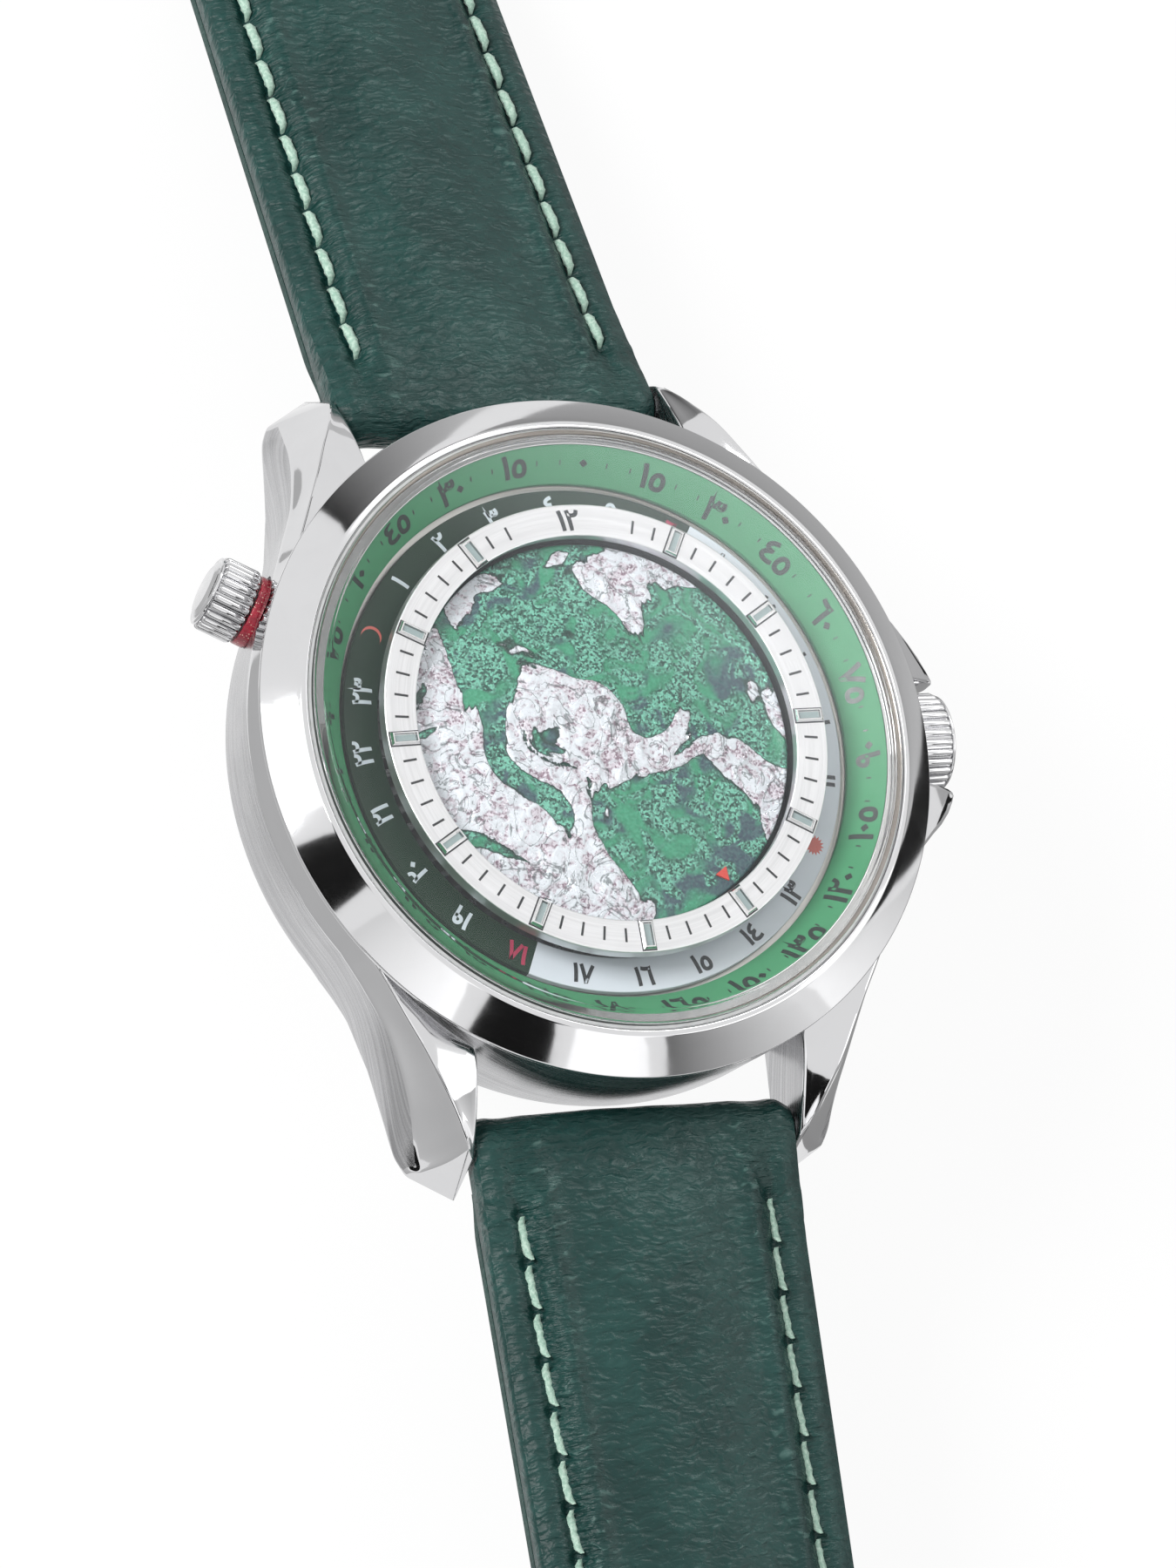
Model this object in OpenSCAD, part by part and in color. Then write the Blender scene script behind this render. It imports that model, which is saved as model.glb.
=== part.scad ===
// World-time wristwatch on a padded leather strap.
// +X points to 3 o'clock, +Y to 12 o'clock and +Z out of the dial.
// The origin is the centre of the flat case back. All lengths are millimetres.

/* [Case] */
// Radius of the middle case at its widest
case_r = 20.8; // [20.7:0.05:21.1]
// Radius of the middle case at its lower edge
case_low_r = 20.3; // [20.0:0.05:20.5]
// Height of the middle case's lower edge above the back
case_base = 1.7; // [1.6:0.05:1.8]
// Height of the shoulder where the polished band begins
shoulder_z = 7.0; // [6.6:0.1:7.4]
// Height of the middle case's upper edge
case_top = 9.1; // [9.05:0.05:9.2]
// Radius of the hollow that holds dial and movement
cavity_r = 18.1; // [18.05:0.05:18.2]
// Outer radius of the case back
back_r = 19.4; // [19.0:0.1:19.8]
// Radius of the window in the case back
window_r = 14.4; // [14.0:0.1:14.8]
// Thickness of the case back window
window_t = 1.3; // [1.1:0.05:1.35]

/* [Bezel and crystal] */
// Outer radius of the bezel
bezel_r = 20.96; // [20.9:0.02:21.1]
// Height of the bezel
bezel_h = 2.1; // [2.0:0.05:2.3]
// Radius of the bezel's inner lip
bezel_in_r = 18.55; // [18.5:0.05:18.7]
// Thickness of the crystal gasket
gasket_t = 0.2; // [0.15:0.05:0.3]
// Height of the crystal's foot above the bezel's underside
foot_h = 1.2; // [1.15:0.05:1.3]
// Depth of the crystal's foot below its inner face
foot_drop = 0.65; // [0.6:0.05:0.8]
// Thickness of the crystal at its centre
crystal_t = 1.8; // [1.5:0.1:2.2]

/* [Lugs] */
// Width between the lugs
lug_gap = 20.7; // [20.5:0.1:21]
// Distance from the centre to the tip of a lug
lug_reach = 24.85; // [24.6:0.05:25.2]
// Outer half width of the lugs where they leave the case
lug_root_x = 15.6; // [15.2:0.1:16]
// Outer half width at the lug's outer corner
lug_tip_x = 14.3; // [14:0.1:14.8]
// Distance from a lug's tip back to its spring bar
bar_inset = 2.25; // [2.1:0.05:2.4]
// Height of the spring bars
bar_z = 3.0; // [2.8:0.1:3.2]
// Radius of a spring bar
bar_r = 0.9; // [0.7:0.05:1.0]
// Radius of a spring bar's end
bar_tip_r = 0.4; // [0.3:0.05:0.45]
// How far a spring bar's end goes into the lug
bar_tip_l = 1.2; // [0.8:0.1:1.5]

/* [Crowns] */
// Height of both crown axes
crown_z = 4.6; // [4.5:0.05:4.7]
// Radius of the winding crown
crown_r = 3.0; // [2.6:0.1:3.1]
// Length of the winding crown
crown_l = 2.8; // [2.6:0.1:3.6]
// Number of flutes on the winding crown
crown_flutes = 30; // [20:2:36]
// Travel of the winding crown when it is pulled
crown_pull = 1.4; // [1.0:0.1:1.4]
// Radius of the ring-setting crown
set_r = 2.3; // [2.0:0.1:2.5]
// Length of the ring-setting crown
set_l = 2.55; // [2.2:0.05:2.8]
// Number of flutes on the ring-setting crown
set_flutes = 24; // [16:2:30]
// Angle of the ring-setting crown, from 12 o'clock towards 9
set_angle = 60; // [58:0.5:62]
// Width of the red collar under the ring-setting crown
collar_t = 0.8; // [0.6:0.05:0.9]
// Radius of the red collar
collar_r = 2.15; // [2.0:0.05:2.25]
// Radius of the crown guards' points from the centre
guard_x = 24.0; // [23.5:0.1:24.2]

/* [Dial] */
// Radius of the hour disc
disc_r = 11.6; // [11.4:0.05:11.65]
// Rise of the hour disc's dome
disc_rise = 1.0; // [0.7:0.1:1.1]
// Inner radius of the hour ring
chapter_in = 11.8; // [11.75:0.05:11.9]
// Outer radius of the hour ring
chapter_out = 13.75; // [13.6:0.05:13.8]
// Thickness of the hour ring
chapter_t = 0.8; // [0.6:0.05:0.85]
// Height of the wall under the hour ring
chapter_wall = 1.2; // [1.1:0.05:1.25]
// Width of an hour marker
marker_w = 0.8; // [0.6:0.05:1.0]
// How far an hour marker stands above the hour ring
marker_h = 0.25; // [0.15:0.05:0.28]
// Inner radius of the day and night ring
day_in = 13.2; // [13.15:0.05:13.3]
// Outer radius of the day and night ring
day_out = 15.26; // [15.2:0.02:15.3]
// Thickness of the day and night ring
day_t = 0.4; // [0.3:0.05:0.45]
// Inner radius of the sloping place ring
place_in = 15.6; // [15.55:0.05:15.7]
// Outer radius of the sloping place ring
place_out = 17.9; // [17.85:0.02:17.95]
// Height that the place ring climbs
place_rise = 1.5; // [1.3:0.05:1.55]

/* [Movement] */
// Radius of the main plate
plate_r = 13.0; // [12.9:0.05:13.0]
// Height of the main plate's train side
plate_z = 6.0; // [6.0:0.01:6.02]
// Thickness of the main plate
plate_t = 1.4; // [1.38:0.01:1.42]
// Height of the bridges' outer side
bridge_z = 3.2; // [3.15:0.05:3.25]
// Thickness of the bridges
bridge_t = 0.7; // [0.6:0.05:0.7]
// Radius of the winding rotor
rotor_r = 12.6; // [12.2:0.1:12.8]
// Thickness of the rotor's heavy rim
rotor_rim_t = 1.3; // [1.0:0.05:1.3]
// Teeth of the big hour wheel
hour_teeth = 36; // [36:1:36]
// Module of the display gears
display_m = 0.35; // [0.34:0.005:0.35]
// Outer radius of the balance rim
balance_r = 3.4; // [3.0:0.1:3.5]

/* [Strap] */
// Width of the strap at the lugs
strap_w = 20.2; // [19.8:0.1:20.3]
// Width of the strap at the buckle
strap_end_w = 18.0; // [17:0.1:18.2]
// Length of the buckle side, bar to bar
short_l = 75; // [72:1:80]
// Length of the holed side, bar to tip
long_l = 115; // [110:1:120]
// Radius of the folded strap end round its spring bar
fold_r = 1.85; // [1.6:0.05:1.88]
// Height of the pad above the strap's middle line
pad_h = 2.5; // [2.1:0.1:2.8]
// Thickness of the lining leather
lining_t = 0.8; // [0.6:0.05:1.0]
// Radius of the buckle holes in the strap
hole_r = 0.9; // [0.7:0.05:1.1]
// Distance between the buckle holes
hole_pitch = 6.5; // [6:0.1:7]
// Slope of the buckle side where it leaves the case
short_slope = 17; // [16:0.5:18]
// Slope of the holed side where it leaves the case
long_slope = 4.3; // [3.8:0.1:4.8]

/* [Buckle] */
// Outer width of the buckle frame
buckle_w = 22; // [21.6:0.1:23]
// Length of the buckle frame past its bar
buckle_l = 9; // [8.5:0.1:10]
// Thickness of the buckle frame
buckle_t = 2.2; // [2.0:0.1:2.4]
// Radius of the buckle bar
buckle_bar_r = 0.75; // [0.6:0.05:0.8]
// Width of the buckle tongue
tongue_w = 2.4; // [2.0:0.1:2.6]
// Width of each strap keeper
keeper_w = 4.2; // [3.5:0.1:4.5]
// Thickness of the keepers' leather
keeper_t = 0.9; // [0.8:0.05:1.1]

/* [Hidden] */
$fn = 96;

// Clearances: between fixed pieces, in running fits, at running faces, round and beside the folded strap end
seat = 0.05;
run = 0.05;
face_gap = 0.1;
fold_room = 0.3;
fold_side = 0.1;

// Overshoot of a cut past the solid it opens
past = 1;
window_lip = 0.4;

// Levels of the case stack
crystal_foot_z = case_top + foot_h;
crystal_in_z = crystal_foot_z + foot_drop;
bezel_top = case_top + bezel_h;
guard_half = crown_r + 0.3;
bar_y = lug_reach - bar_inset;
spot_r = cavity_r + 2.35;

// Levels of the dial stack, counted up from the main plate
plate_top = plate_z + plate_t;
gear_t = 0.4;
gear_z = plate_top + face_gap;
day_z = gear_z + gear_t;
base_z = day_z + face_gap;
base_t = 0.4;
chapter_z = base_z + base_t + chapter_wall;
chapter_top = chapter_z + chapter_t;
place_z = plate_top + 0.7;
wall_in = chapter_in + 0.15;
wall_out = wall_in + 0.65;
disc_z = base_z + base_t + 0.5;
disc_t = 0.3;

// Motion work: radii from tooth counts
idler_teeth = hour_teeth / 2;
day_teeth = hour_teeth * 2;
hour_pitch_r = hour_teeth * display_m / 2;
idler_d = (hour_teeth + idler_teeth) * display_m / 2;
idler_angle = 0;
motion_m = 0.16;
cannon_teeth = 10;
minute_teeth = 30;
minute_pinion_teeth = 8;
hour_low_teeth = 32;
minute_d = (cannon_teeth + minute_teeth) * motion_m / 2;
minute_angle = 120;
motion_floor = plate_top - 0.95;
arbor_r = 0.35;
cannon_r = 0.6;
hour_pipe_r = 1.0;
foot_places = [90, 210, 300];
foot_ring = 11.2;

// Place ring gear, turned by the pinion on the setting stem
place_gear_in = place_out - 0.85;
place_gear_out = place_out - 0.05;
set_pinion_teeth = 9;
place_teeth = 116;
place_m = (place_gear_in + place_gear_out) / place_teeth;
set_pinion_r = set_pinion_teeth * place_m / 2;
place_tooth_z = crown_z + set_pinion_r;

// Going train: pitch radii and places
barrel_teeth = 72;
centre_pinion = 12;
train_m = 0.15;
barrel_pr = barrel_teeth * train_m / 2;
barrel_d = (barrel_teeth + centre_pinion) * train_m / 2;
centre_teeth = 60;
third_pinion = 8;
third_d = (centre_teeth + third_pinion) * train_m / 2;
third_teeth = 64;
fourth_pinion = 8;
third_m = 0.1125;
fourth_d = (third_teeth + fourth_pinion) * third_m / 2;
fourth_teeth = 60;
escape_pinion = 8;
fourth_m = 0.1;
escape_d = (fourth_teeth + escape_pinion) * fourth_m / 2;
barrel_angle = 155;
third_angle = 20;
fourth_angle = -80;
escape_angle = -150;
escape_r = 2.3;
pallet_d = 3.3;
pallet_angle = -120;
balance_d = 4.0;
balance_angle = -150;
barrel_at = barrel_d * [cos(barrel_angle), sin(barrel_angle)];
third_at = third_d * [cos(third_angle), sin(third_angle)];
fourth_at = third_at + fourth_d * [cos(fourth_angle), sin(fourth_angle)];
escape_at = fourth_at + escape_d * [cos(escape_angle), sin(escape_angle)];
pallet_at = escape_at + pallet_d * [cos(pallet_angle), sin(pallet_angle)];
balance_at = pallet_at + balance_d * [cos(balance_angle), sin(balance_angle)];
bridge_top = bridge_z + bridge_t;
pivot_r = 0.12;
jewel_r = 0.55;
jewel_t = 0.3;
train_places = [[0, 0], third_at, fourth_at, escape_at, pallet_at, balance_at];

// Strap paths: heading below the horizontal at each distance from the spring bar
bend_r = 60;
short_run = 33;
short_arc = bend_r * short_slope * PI / 180;
short_path = [[0, short_slope], [short_run, short_slope], [short_run + short_arc, 0], [short_l, 0]];
steep = 18;
long_bend = 80;
long_run = 27.5;
long_arc_1 = long_bend * (steep - long_slope) * PI / 180;
long_arc_2 = long_bend * steep * PI / 180;
table_z = path_at(short_path, short_l)[1] - 0.6 - lining_t - seat * 2 - keeper_t;
long_flat_z = table_z + 0.5 + lining_t;
long_drop = bar_z - long_flat_z - long_run * sin(long_slope)
    - long_bend * (cos(long_slope) - cos(steep)) - long_bend * (1 - cos(steep));
long_s1 = long_run + long_arc_1;
long_s2 = long_s1 + long_drop / sin(steep);
long_path = [[0, long_slope], [long_run, long_slope], [long_s1, steep], [long_s2, steep],
    [long_s2 + long_arc_2, 0], [long_l, 0]];
short_half = [[0, strap_w / 2], [0.7 * short_l, strap_end_w / 2], [short_l, strap_end_w / 2]];
long_half = [[0, strap_w / 2], [0.6 * long_l, strap_end_w / 2], [long_l - 13, strap_end_w / 2],
    [long_l - 8, strap_end_w / 2 - 0.6], [long_l - 4, strap_end_w / 2 - 3],
    [long_l - 1.5, strap_end_w / 2 - 5.6], [long_l, strap_end_w / 2 - 8]];
short_pad = [[0, fold_r], [5, pad_h], [0.6 * short_l, 0.85 * pad_h], [short_l - 14, 1.5], [short_l, 1.5]];
long_pad = [[0, fold_r], [5, pad_h], [0.35 * long_l, 0.9 * pad_h], [0.7 * long_l, 1.3], [long_l, 1.2]];
edge_drop = [[0, fold_r], [3, 1.5], [7, 1.05], [200, 1.05]];
leather_low = 0.6;
lining_from = 2.4;
lining_end = 3;
short_stations = concat([0, 1.5, 3, 5], [for (s = [7.5 : 2.5 : short_l - 3]) s], [short_l]);
long_stations = concat([0, 1.5, 3, 5], [for (s = [8 : 3 : long_l - 14]) s],
    [for (d = [13, 10, 8, 6, 4, 2.5, 1.5, 0.7, 0]) long_l - d]);
holes_n = 7;
hole_start = long_l - 14 - (holes_n - 1) * hole_pitch;
end_fold_r = 1.45;
slot_w = tongue_w + 0.8;
buckle_at = path_at(short_path, short_l);
buckle_in = strap_end_w + 0.5;
keeper_fix_s = short_l - 6.6;
keeper_free_s = keeper_fix_s - keeper_w - 5;

// Point (y, z) of a strap path at distance s from the spring bar
function path_at(path, s) =
    let (n = max(1, ceil(2 * s)), d = s / n,
        head = [for (i = [0 : n - 1]) lookup((i + 0.5) * d, path)],
        one = [for (h = head) 1])
    [bar_y + d * ([for (h = head) cos(h)] * one), bar_z - d * ([for (h = head) sin(h)] * one)];

// Turn of the second wheel that puts its tooth gap on the first wheel's tooth
function mesh(angle, teeth_a, turn_a, teeth_b) =
    angle + 180 - 180 / teeth_b + (angle - turn_a) * teeth_a / teeth_b;

// Outline of a wheel with trapezoid teeth; grow is -1 for inward teeth
function gear_points(teeth, module_size, grow = 1) =
    let (pitch = 360 / teeth, r = teeth * module_size / 2,
        tip = r + grow * 0.85 * module_size, root = r - grow * 1.15 * module_size)
    [for (i = [0 : teeth - 1], k = [[root, -0.22], [tip, -0.09], [tip, 0.09], [root, 0.22]])
        k[0] * [cos(pitch * (i + k[1])), sin(pitch * (i + k[1]))]];

// Outline of a flat spiral spring
function spiral_strip(r_in, r_out, turns, step, w) =
    let (grow = (r_out - r_in) / (turns * 360), last = turns * 360,
        edge = function (a, side) (r_in + grow * a + side * w / 2) * [cos(a), sin(a)])
    concat([for (a = [0 : step : last]) edge(a, 1)], [for (a = [last : -step : 0]) edge(a, -1)]);

function ring_points(r, n) = [for (i = [0 : n - 1]) r * [cos(360 * i / n), sin(360 * i / n)]];

// A row of matching outlines joined to one closed skin
module skin(rings) {
    n = len(rings[0]);
    m = len(rings);
    sides = [for (i = [0 : m - 2], j = [0 : n - 1], half = [0, 1])
        let (a = i * n + j, b = i * n + (j + 1) % n, c = a + n, d = b + n)
        half == 0 ? [a, b, d] : [a, d, c]];
    polyhedron([for (r = rings) each r],
        concat(sides, [[for (j = [n - 1 : -1 : 0]) j]], [[for (j = [0 : n - 1]) (m - 1) * n + j]]));
}

// Flat-sided disc, for wheels that turn close to others
module flat_disc(r, h, n = 48) {
    linear_extrude(h) polygon(ring_points(r, n));
}

module gear(teeth, module_size, h, turn = 0) {
    rotate(turn) linear_extrude(h) polygon(gear_points(teeth, module_size));
}

// Wheel with spokes cut between rim and hub
module spoked_gear(teeth, module_size, h, turn, hub_r, rim_w, spokes = 5) {
    r_in = teeth * module_size / 2 - rim_w;
    gap = 0.32 * 360 / spokes;
    difference() {
        gear(teeth, module_size, h, turn);
        for (i = [0 : spokes - 1])
            rotate(360 * i / spokes) translate([0, 0, -1]) linear_extrude(h + 2)
                polygon(concat([for (a = [-1 : 0.25 : 1]) r_in * [cos(a * gap), sin(a * gap)]],
                    [for (a = [0.8, -0.8]) hub_r * [cos(a * gap), sin(a * gap)]]));
    }
}

module spin(points) {
    rotate_extrude() polygon(points);
}

module along_x(x, r, l, facets = 0) {
    translate([x, 0, crown_z]) rotate([0, 90, 0])
        cylinder(r = r, h = l, $fn = facets > 0 ? facets : $fn);
}

// Things drawn on the +X axis, turned to the ring-setting crown
module at_setting() {
    rotate(90 + set_angle) children();
}

// Lug of the +X +Y corner, from sizes at a distance d back from its tip: the outer edge of the
// underside, the ridge over the brushed side, the crest and the edge beside the strap
lug_back = 13.35;
lug_corner = 2.5;
tip_turn = 51.4;
tip_lean = 17.2;
function lug_out(d) = lookup(d, [[0, lug_tip_x - 0.6], [lug_corner, lug_tip_x], [10.9, lug_root_x],
    [lug_back, lug_root_x + 1]]);
function lug_low(d) = lookup(d, [[0, 0.25], [7.8, case_base]]);
function lug_ridge(d) = [
    lug_out(d) - lookup(d, [[0, 1.6], [2.8, 1.2], [6.8, 0.35], [10.9, -0.3]]),
    lookup(d, [[0, 0.9], [2.8, 2.2], [4.8, 4.0], [6.8, 5.2], [10.9, 6.5], [lug_back, 6.9]])];
function lug_crest(d) = [
    lug_gap / 2 + lookup(d, [[0, 0.2], [1.4, 0.4], [2.8, 1.4], [4.8, 2.5], [6.8, 3.4], [10.9, 5.2],
        [lug_back, 6]]),
    lookup(d, [[0, 1.0], [1.4, 3.6], [2.8, 6.0], [4.8, 7.2], [6.8, 7.8], [10.9, case_top - 0.4]])];
function lug_inner(d) = lookup(d, [[0, 0.9], [1.2, 3.3], [2.2, 4.4], [3.4, 5.4], [4.8, 6.3], [6.7, 7.5],
    [9, 7.9]]);
function lug_outline(d) =
    let (xi = lug_gap / 2, y = lug_reach - d, ridge = lug_ridge(d), crest = lug_crest(d))
    [[xi, y, lug_low(d)], [lug_out(d), y, lug_low(d)], [ridge[0], y, ridge[1]], [crest[0], y, crest[1]],
        [xi, y, lug_inner(d)]];
module lug() {
    difference() {
        skin([for (d = [lug_back, 10.9, 8.8, 6.8, 4.8, 3.6, 2.8, 2, 1.4, 0.7, 0, -0.6]) lug_outline(d)]);
        translate([lug_gap / 2, lug_reach, 0.4]) rotate([0, -tip_lean, tip_turn])
            translate([0, -8, -8]) cube(16);
    }
}

// Pointed guards on both sides of the winding crown
module crown_guards() {
    intersection() {
        for (side = [1, -1]) scale([1, side, 1])
            linear_extrude(case_top) polygon([[17, guard_half], [19.9, guard_half],
                [guard_x - 0.7, guard_half], [guard_x, guard_half + 0.25], [guard_x - 0.8, 4.75],
                [guard_x - 2.7, 6.5], [guard_x - 4.3, 8.1], [17, 9.9]]);
        translate([0, 12, 0]) rotate([90, 0, 0]) linear_extrude(24)
            polygon([[16, case_base], [20.2, case_base], [guard_x + 0.2, crown_z - 0.6],
                [guard_x + 0.2, crown_z + 0.9], [20.7, case_top - 0.6], [16, case_top - 0.6]]);
    }
}

module mid_case() color("silver") difference() {
    union() {
        spin([[cavity_r - 0.6, case_base], [case_low_r - 0.25, case_base], [case_low_r, case_base + 0.3],
            [case_r, shoulder_z], [case_r - 0.2, case_top], [cavity_r - 0.6, case_top]]);
        for (sx = [0, 1], sy = [0, 1]) mirror([sx, 0, 0]) mirror([0, sy, 0]) lug();
        crown_guards();
    }
    translate([0, 0, -1]) cylinder(r = cavity_r, h = case_top + 2);
    along_x(cavity_r - 1, 1.3, 5);
    along_x(case_r - 0.25, crown_r + 0.3, 5);
    at_setting() {
        along_x(cavity_r - 1, 1.3, 5);
        along_x(spot_r, collar_r + 0.2, 5);
    }
    for (sy = [-1, 1]) {
        translate([-lug_gap / 2 - bar_tip_l - 0.2, sy * bar_y, bar_z])
            rotate([0, 90, 0]) cylinder(r = bar_tip_r + seat, h = lug_gap + 2 * bar_tip_l + 0.4);
        translate([-strap_w / 2 - fold_side, sy * bar_y, bar_z])
            rotate([0, 90, 0]) cylinder(r = fold_r + fold_room, h = strap_w + 2 * fold_side);
    }
}

module bezel() color("silver")
    spin([[bezel_in_r, case_top], [bezel_r - 0.15, case_top], [bezel_r, case_top + 0.12],
        [bezel_r, case_top + 0.3], [bezel_r - 1.55, bezel_top - 0.85], [bezel_in_r + 0.35, bezel_top - 0.1],
        [bezel_in_r + 0.1, bezel_top], [bezel_in_r, bezel_top - 0.05]]);

crystal_r = bezel_in_r - gasket_t;
module crystal() color([0.85, 0.95, 1, 0.3]) {
    rim_z = bezel_top + 0.45;
    dome_r = crystal_r - 0.6;
    rise = crystal_in_z + crystal_t - rim_z - 0.35;
    spin(concat([[0, crystal_in_z], [crystal_r - 0.9, crystal_in_z], [crystal_r - 0.45, crystal_foot_z],
        [crystal_r, crystal_foot_z], [crystal_r, rim_z]],
        [for (a = [0 : 11.25 : 90]) [dome_r * cos(a), rim_z + 0.35 + rise * sin(a) * sin(a)]]));
}

module crystal_gasket() color("white")
    spin([[crystal_r, crystal_foot_z], [bezel_in_r, crystal_foot_z], [bezel_in_r, bezel_top - 0.15],
        [crystal_r, bezel_top - 0.15]]);

module case_back() color("silver") {
    seat_r = window_r + 0.5 + seat;
    difference() {
        spin([[window_r + seat, 0], [back_r - 0.9, 0], [back_r, 0.9], [back_r, case_base],
            [cavity_r - seat, case_base], [cavity_r - seat, 2.5], [cavity_r - 0.9, 2.5],
            [cavity_r - 0.9, window_t + 0.25], [seat_r, window_t + 0.25], [seat_r, window_lip],
            [window_r + seat, window_lip]]);
        for (i = [0 : 5]) rotate(30 + 60 * i) translate([back_r - 1.4, -1, -1]) cube([3, 2, 1.6]);
    }
}

module back_window() color([0.85, 0.95, 1, 0.3])
    spin([[0, 0], [window_r, 0], [window_r, window_lip], [window_r + 0.5, window_lip],
        [window_r + 0.5, window_t], [0, window_t]]);

module crown_tube() color("gray") difference() {
    along_x(cavity_r - 0.2, 1.3, case_r - cavity_r + 0.2);
    along_x(cavity_r - 1, 0.6 + run, 6);
}

module setting_collar() color("crimson") at_setting() difference() {
    union() {
        along_x(cavity_r - 0.2, 1.3, spot_r - cavity_r + 0.2);
        along_x(spot_r, collar_r, collar_t);
    }
    along_x(cavity_r - 1, 0.6 + run, 6);
}

module casing_ring() color("lightgray") difference() {
    spin([[plate_r + seat, 3.0], [cavity_r - 1.15, 3.0], [cavity_r - 1.15, 2.6], [cavity_r - seat, 2.6],
        [cavity_r - seat, 2.95], [place_gear_in - run, 3.0], [place_gear_in - run, place_z - face_gap],
        [place_in, place_z - face_gap], [place_in, day_z - face_gap], [day_out - 0.4, day_z - face_gap],
        [day_out - 0.4, plate_top], [plate_r + seat, plate_top]]);
    along_x(plate_r - 1, 0.6 + run, 6);
    at_setting() {
        along_x(plate_r - 1, 0.4 + run, 6);
        translate([place_gear_in - run, -2.2, 0]) cube([3, 4.4, 4]);
    }
}

module spring_bar(side) color("dimgray") translate([0, side * bar_y, bar_z]) rotate([0, 90, 0]) {
    translate([0, 0, -lug_gap / 2 + seat]) cylinder(r = bar_r, h = lug_gap - 2 * seat);
    translate([0, 0, -lug_gap / 2 - bar_tip_l]) cylinder(r = bar_tip_r, h = lug_gap + 2 * bar_tip_l);
}
module spring_bar_12() spring_bar(1);
module spring_bar_6() spring_bar(-1);

module inner_flange() color("rosybrown")
    spin([[place_out + 0.1, case_top + 0.05], [bezel_in_r - seat, case_top + 0.05],
        [bezel_in_r - seat, crystal_foot_z], [crystal_r - 0.5, crystal_foot_z],
        [place_out + 0.1, place_z + 2.0]]);

module dial_base() color("darkslategray") difference() {
    union() {
        spin([[0, base_z], [wall_out, base_z], [wall_out, chapter_z], [wall_in, chapter_z],
            [wall_in, base_z + base_t], [0, base_z + base_t]]);
        for (a = foot_places) rotate(a) translate([foot_ring, 0, plate_top])
            cylinder(r = 0.5, h = base_z - plate_top + 0.1);
    }
    translate([0, 0, base_z - 1]) cylinder(r = hour_pipe_r + 0.3, h = 3);
}

module chapter_ring() color("gainsboro")
    spin([[chapter_in, chapter_z], [chapter_out, chapter_z], [chapter_out, chapter_top - 0.1],
        [chapter_out - 0.1, chapter_top], [chapter_in + 0.1, chapter_top], [chapter_in, chapter_top - 0.1]]);

marker_in = chapter_in - 0.05;
marker_l = chapter_out - chapter_in;
inlay_w = marker_w - 0.36;
module each_hour() for (h = [1 : 11]) rotate(-30 * h) children();
module hour_markers() color("silver") each_hour() difference() {
    translate([-marker_w / 2, marker_in + 0.15, chapter_top]) cube([marker_w, marker_l - 0.25, marker_h]);
    translate([-inlay_w / 2, marker_in + 0.33, chapter_top + 0.1]) cube([inlay_w, marker_l - 0.61, 1]);
}
module marker_inlays() color("darkseagreen") each_hour()
    translate([-inlay_w / 2, marker_in + 0.33, chapter_top + 0.1])
        cube([inlay_w, marker_l - 0.61, marker_h - 0.14]);

dome_n = 12;
function dome_z(r) = disc_z + disc_t + disc_rise * (1 - r * r / disc_r / disc_r);
module hour_disc() color("seagreen") difference() {
    spin(concat([[0, disc_z], [disc_r - 0.1, disc_z], [disc_r, disc_z + 0.1]],
        [for (i = [dome_n : -1 : 0]) [disc_r * i / dome_n, dome_z(disc_r * i / dome_n)]]));
    translate([0, 0, disc_z - 1]) cylinder(r = hour_pipe_r, h = 1.35);
}

pointer_angle = 146.75;
pointer_tip = 11.25;
pointer_l = 0.75;
module hour_pointer() color("red") rotate(90 - pointer_angle)
    translate([0, 0, dome_z(pointer_tip - pointer_l)]) linear_extrude(0.12)
        polygon([[pointer_tip, 0], [pointer_tip - pointer_l, 0.42], [pointer_tip - pointer_l, -0.42]]);

module hour_wheel() color("goldenrod") difference() {
    union() {
        translate([0, 0, gear_z]) spoked_gear(hour_teeth, display_m, gear_t, 0, 1.7, 1.2);
        translate([0, 0, plate_top - 0.4]) gear(hour_low_teeth, motion_m, 0.25);
        translate([0, 0, plate_top - 0.4]) flat_disc(hour_pipe_r, disc_z + 0.3 - plate_top + 0.4, 24);
    }
    translate([0, 0, plate_z]) flat_disc(cannon_r + 2 * run, 6, 24);
}

module day_night_ring() color("darkslategray")
    spin([[day_in, day_z], [day_out, day_z], [day_out, day_z + day_t], [day_in, day_z + day_t]]);

idler_turn = mesh(idler_angle, hour_teeth, 0, idler_teeth);
day_turn = idler_angle - 360 / day_teeth * ((idler_angle - idler_turn) * idler_teeth / 360 + 0.5);
module day_night_gear() color("goldenrod") translate([0, 0, gear_z]) difference() {
    flat_disc(day_out - 0.5, gear_t, 72);
    rotate(day_turn) translate([0, 0, -1]) linear_extrude(gear_t + 2)
        polygon(gear_points(day_teeth, display_m, -1));
}

module idler_wheel() color("goldenrod") rotate(idler_angle) translate([idler_d, 0, gear_z]) difference() {
    rotate(-idler_angle) gear(idler_teeth, display_m, gear_t, idler_turn);
    translate([0, 0, -1]) cylinder(r = 0.55, h = 3);
}

module place_ring() color("mediumseagreen")
    spin([[place_in, place_z], [place_out, place_z], [place_out, place_z + place_rise + 0.4],
        [place_out - 0.15, place_z + place_rise + 0.4], [place_in, place_z + 0.4]]);

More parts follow.
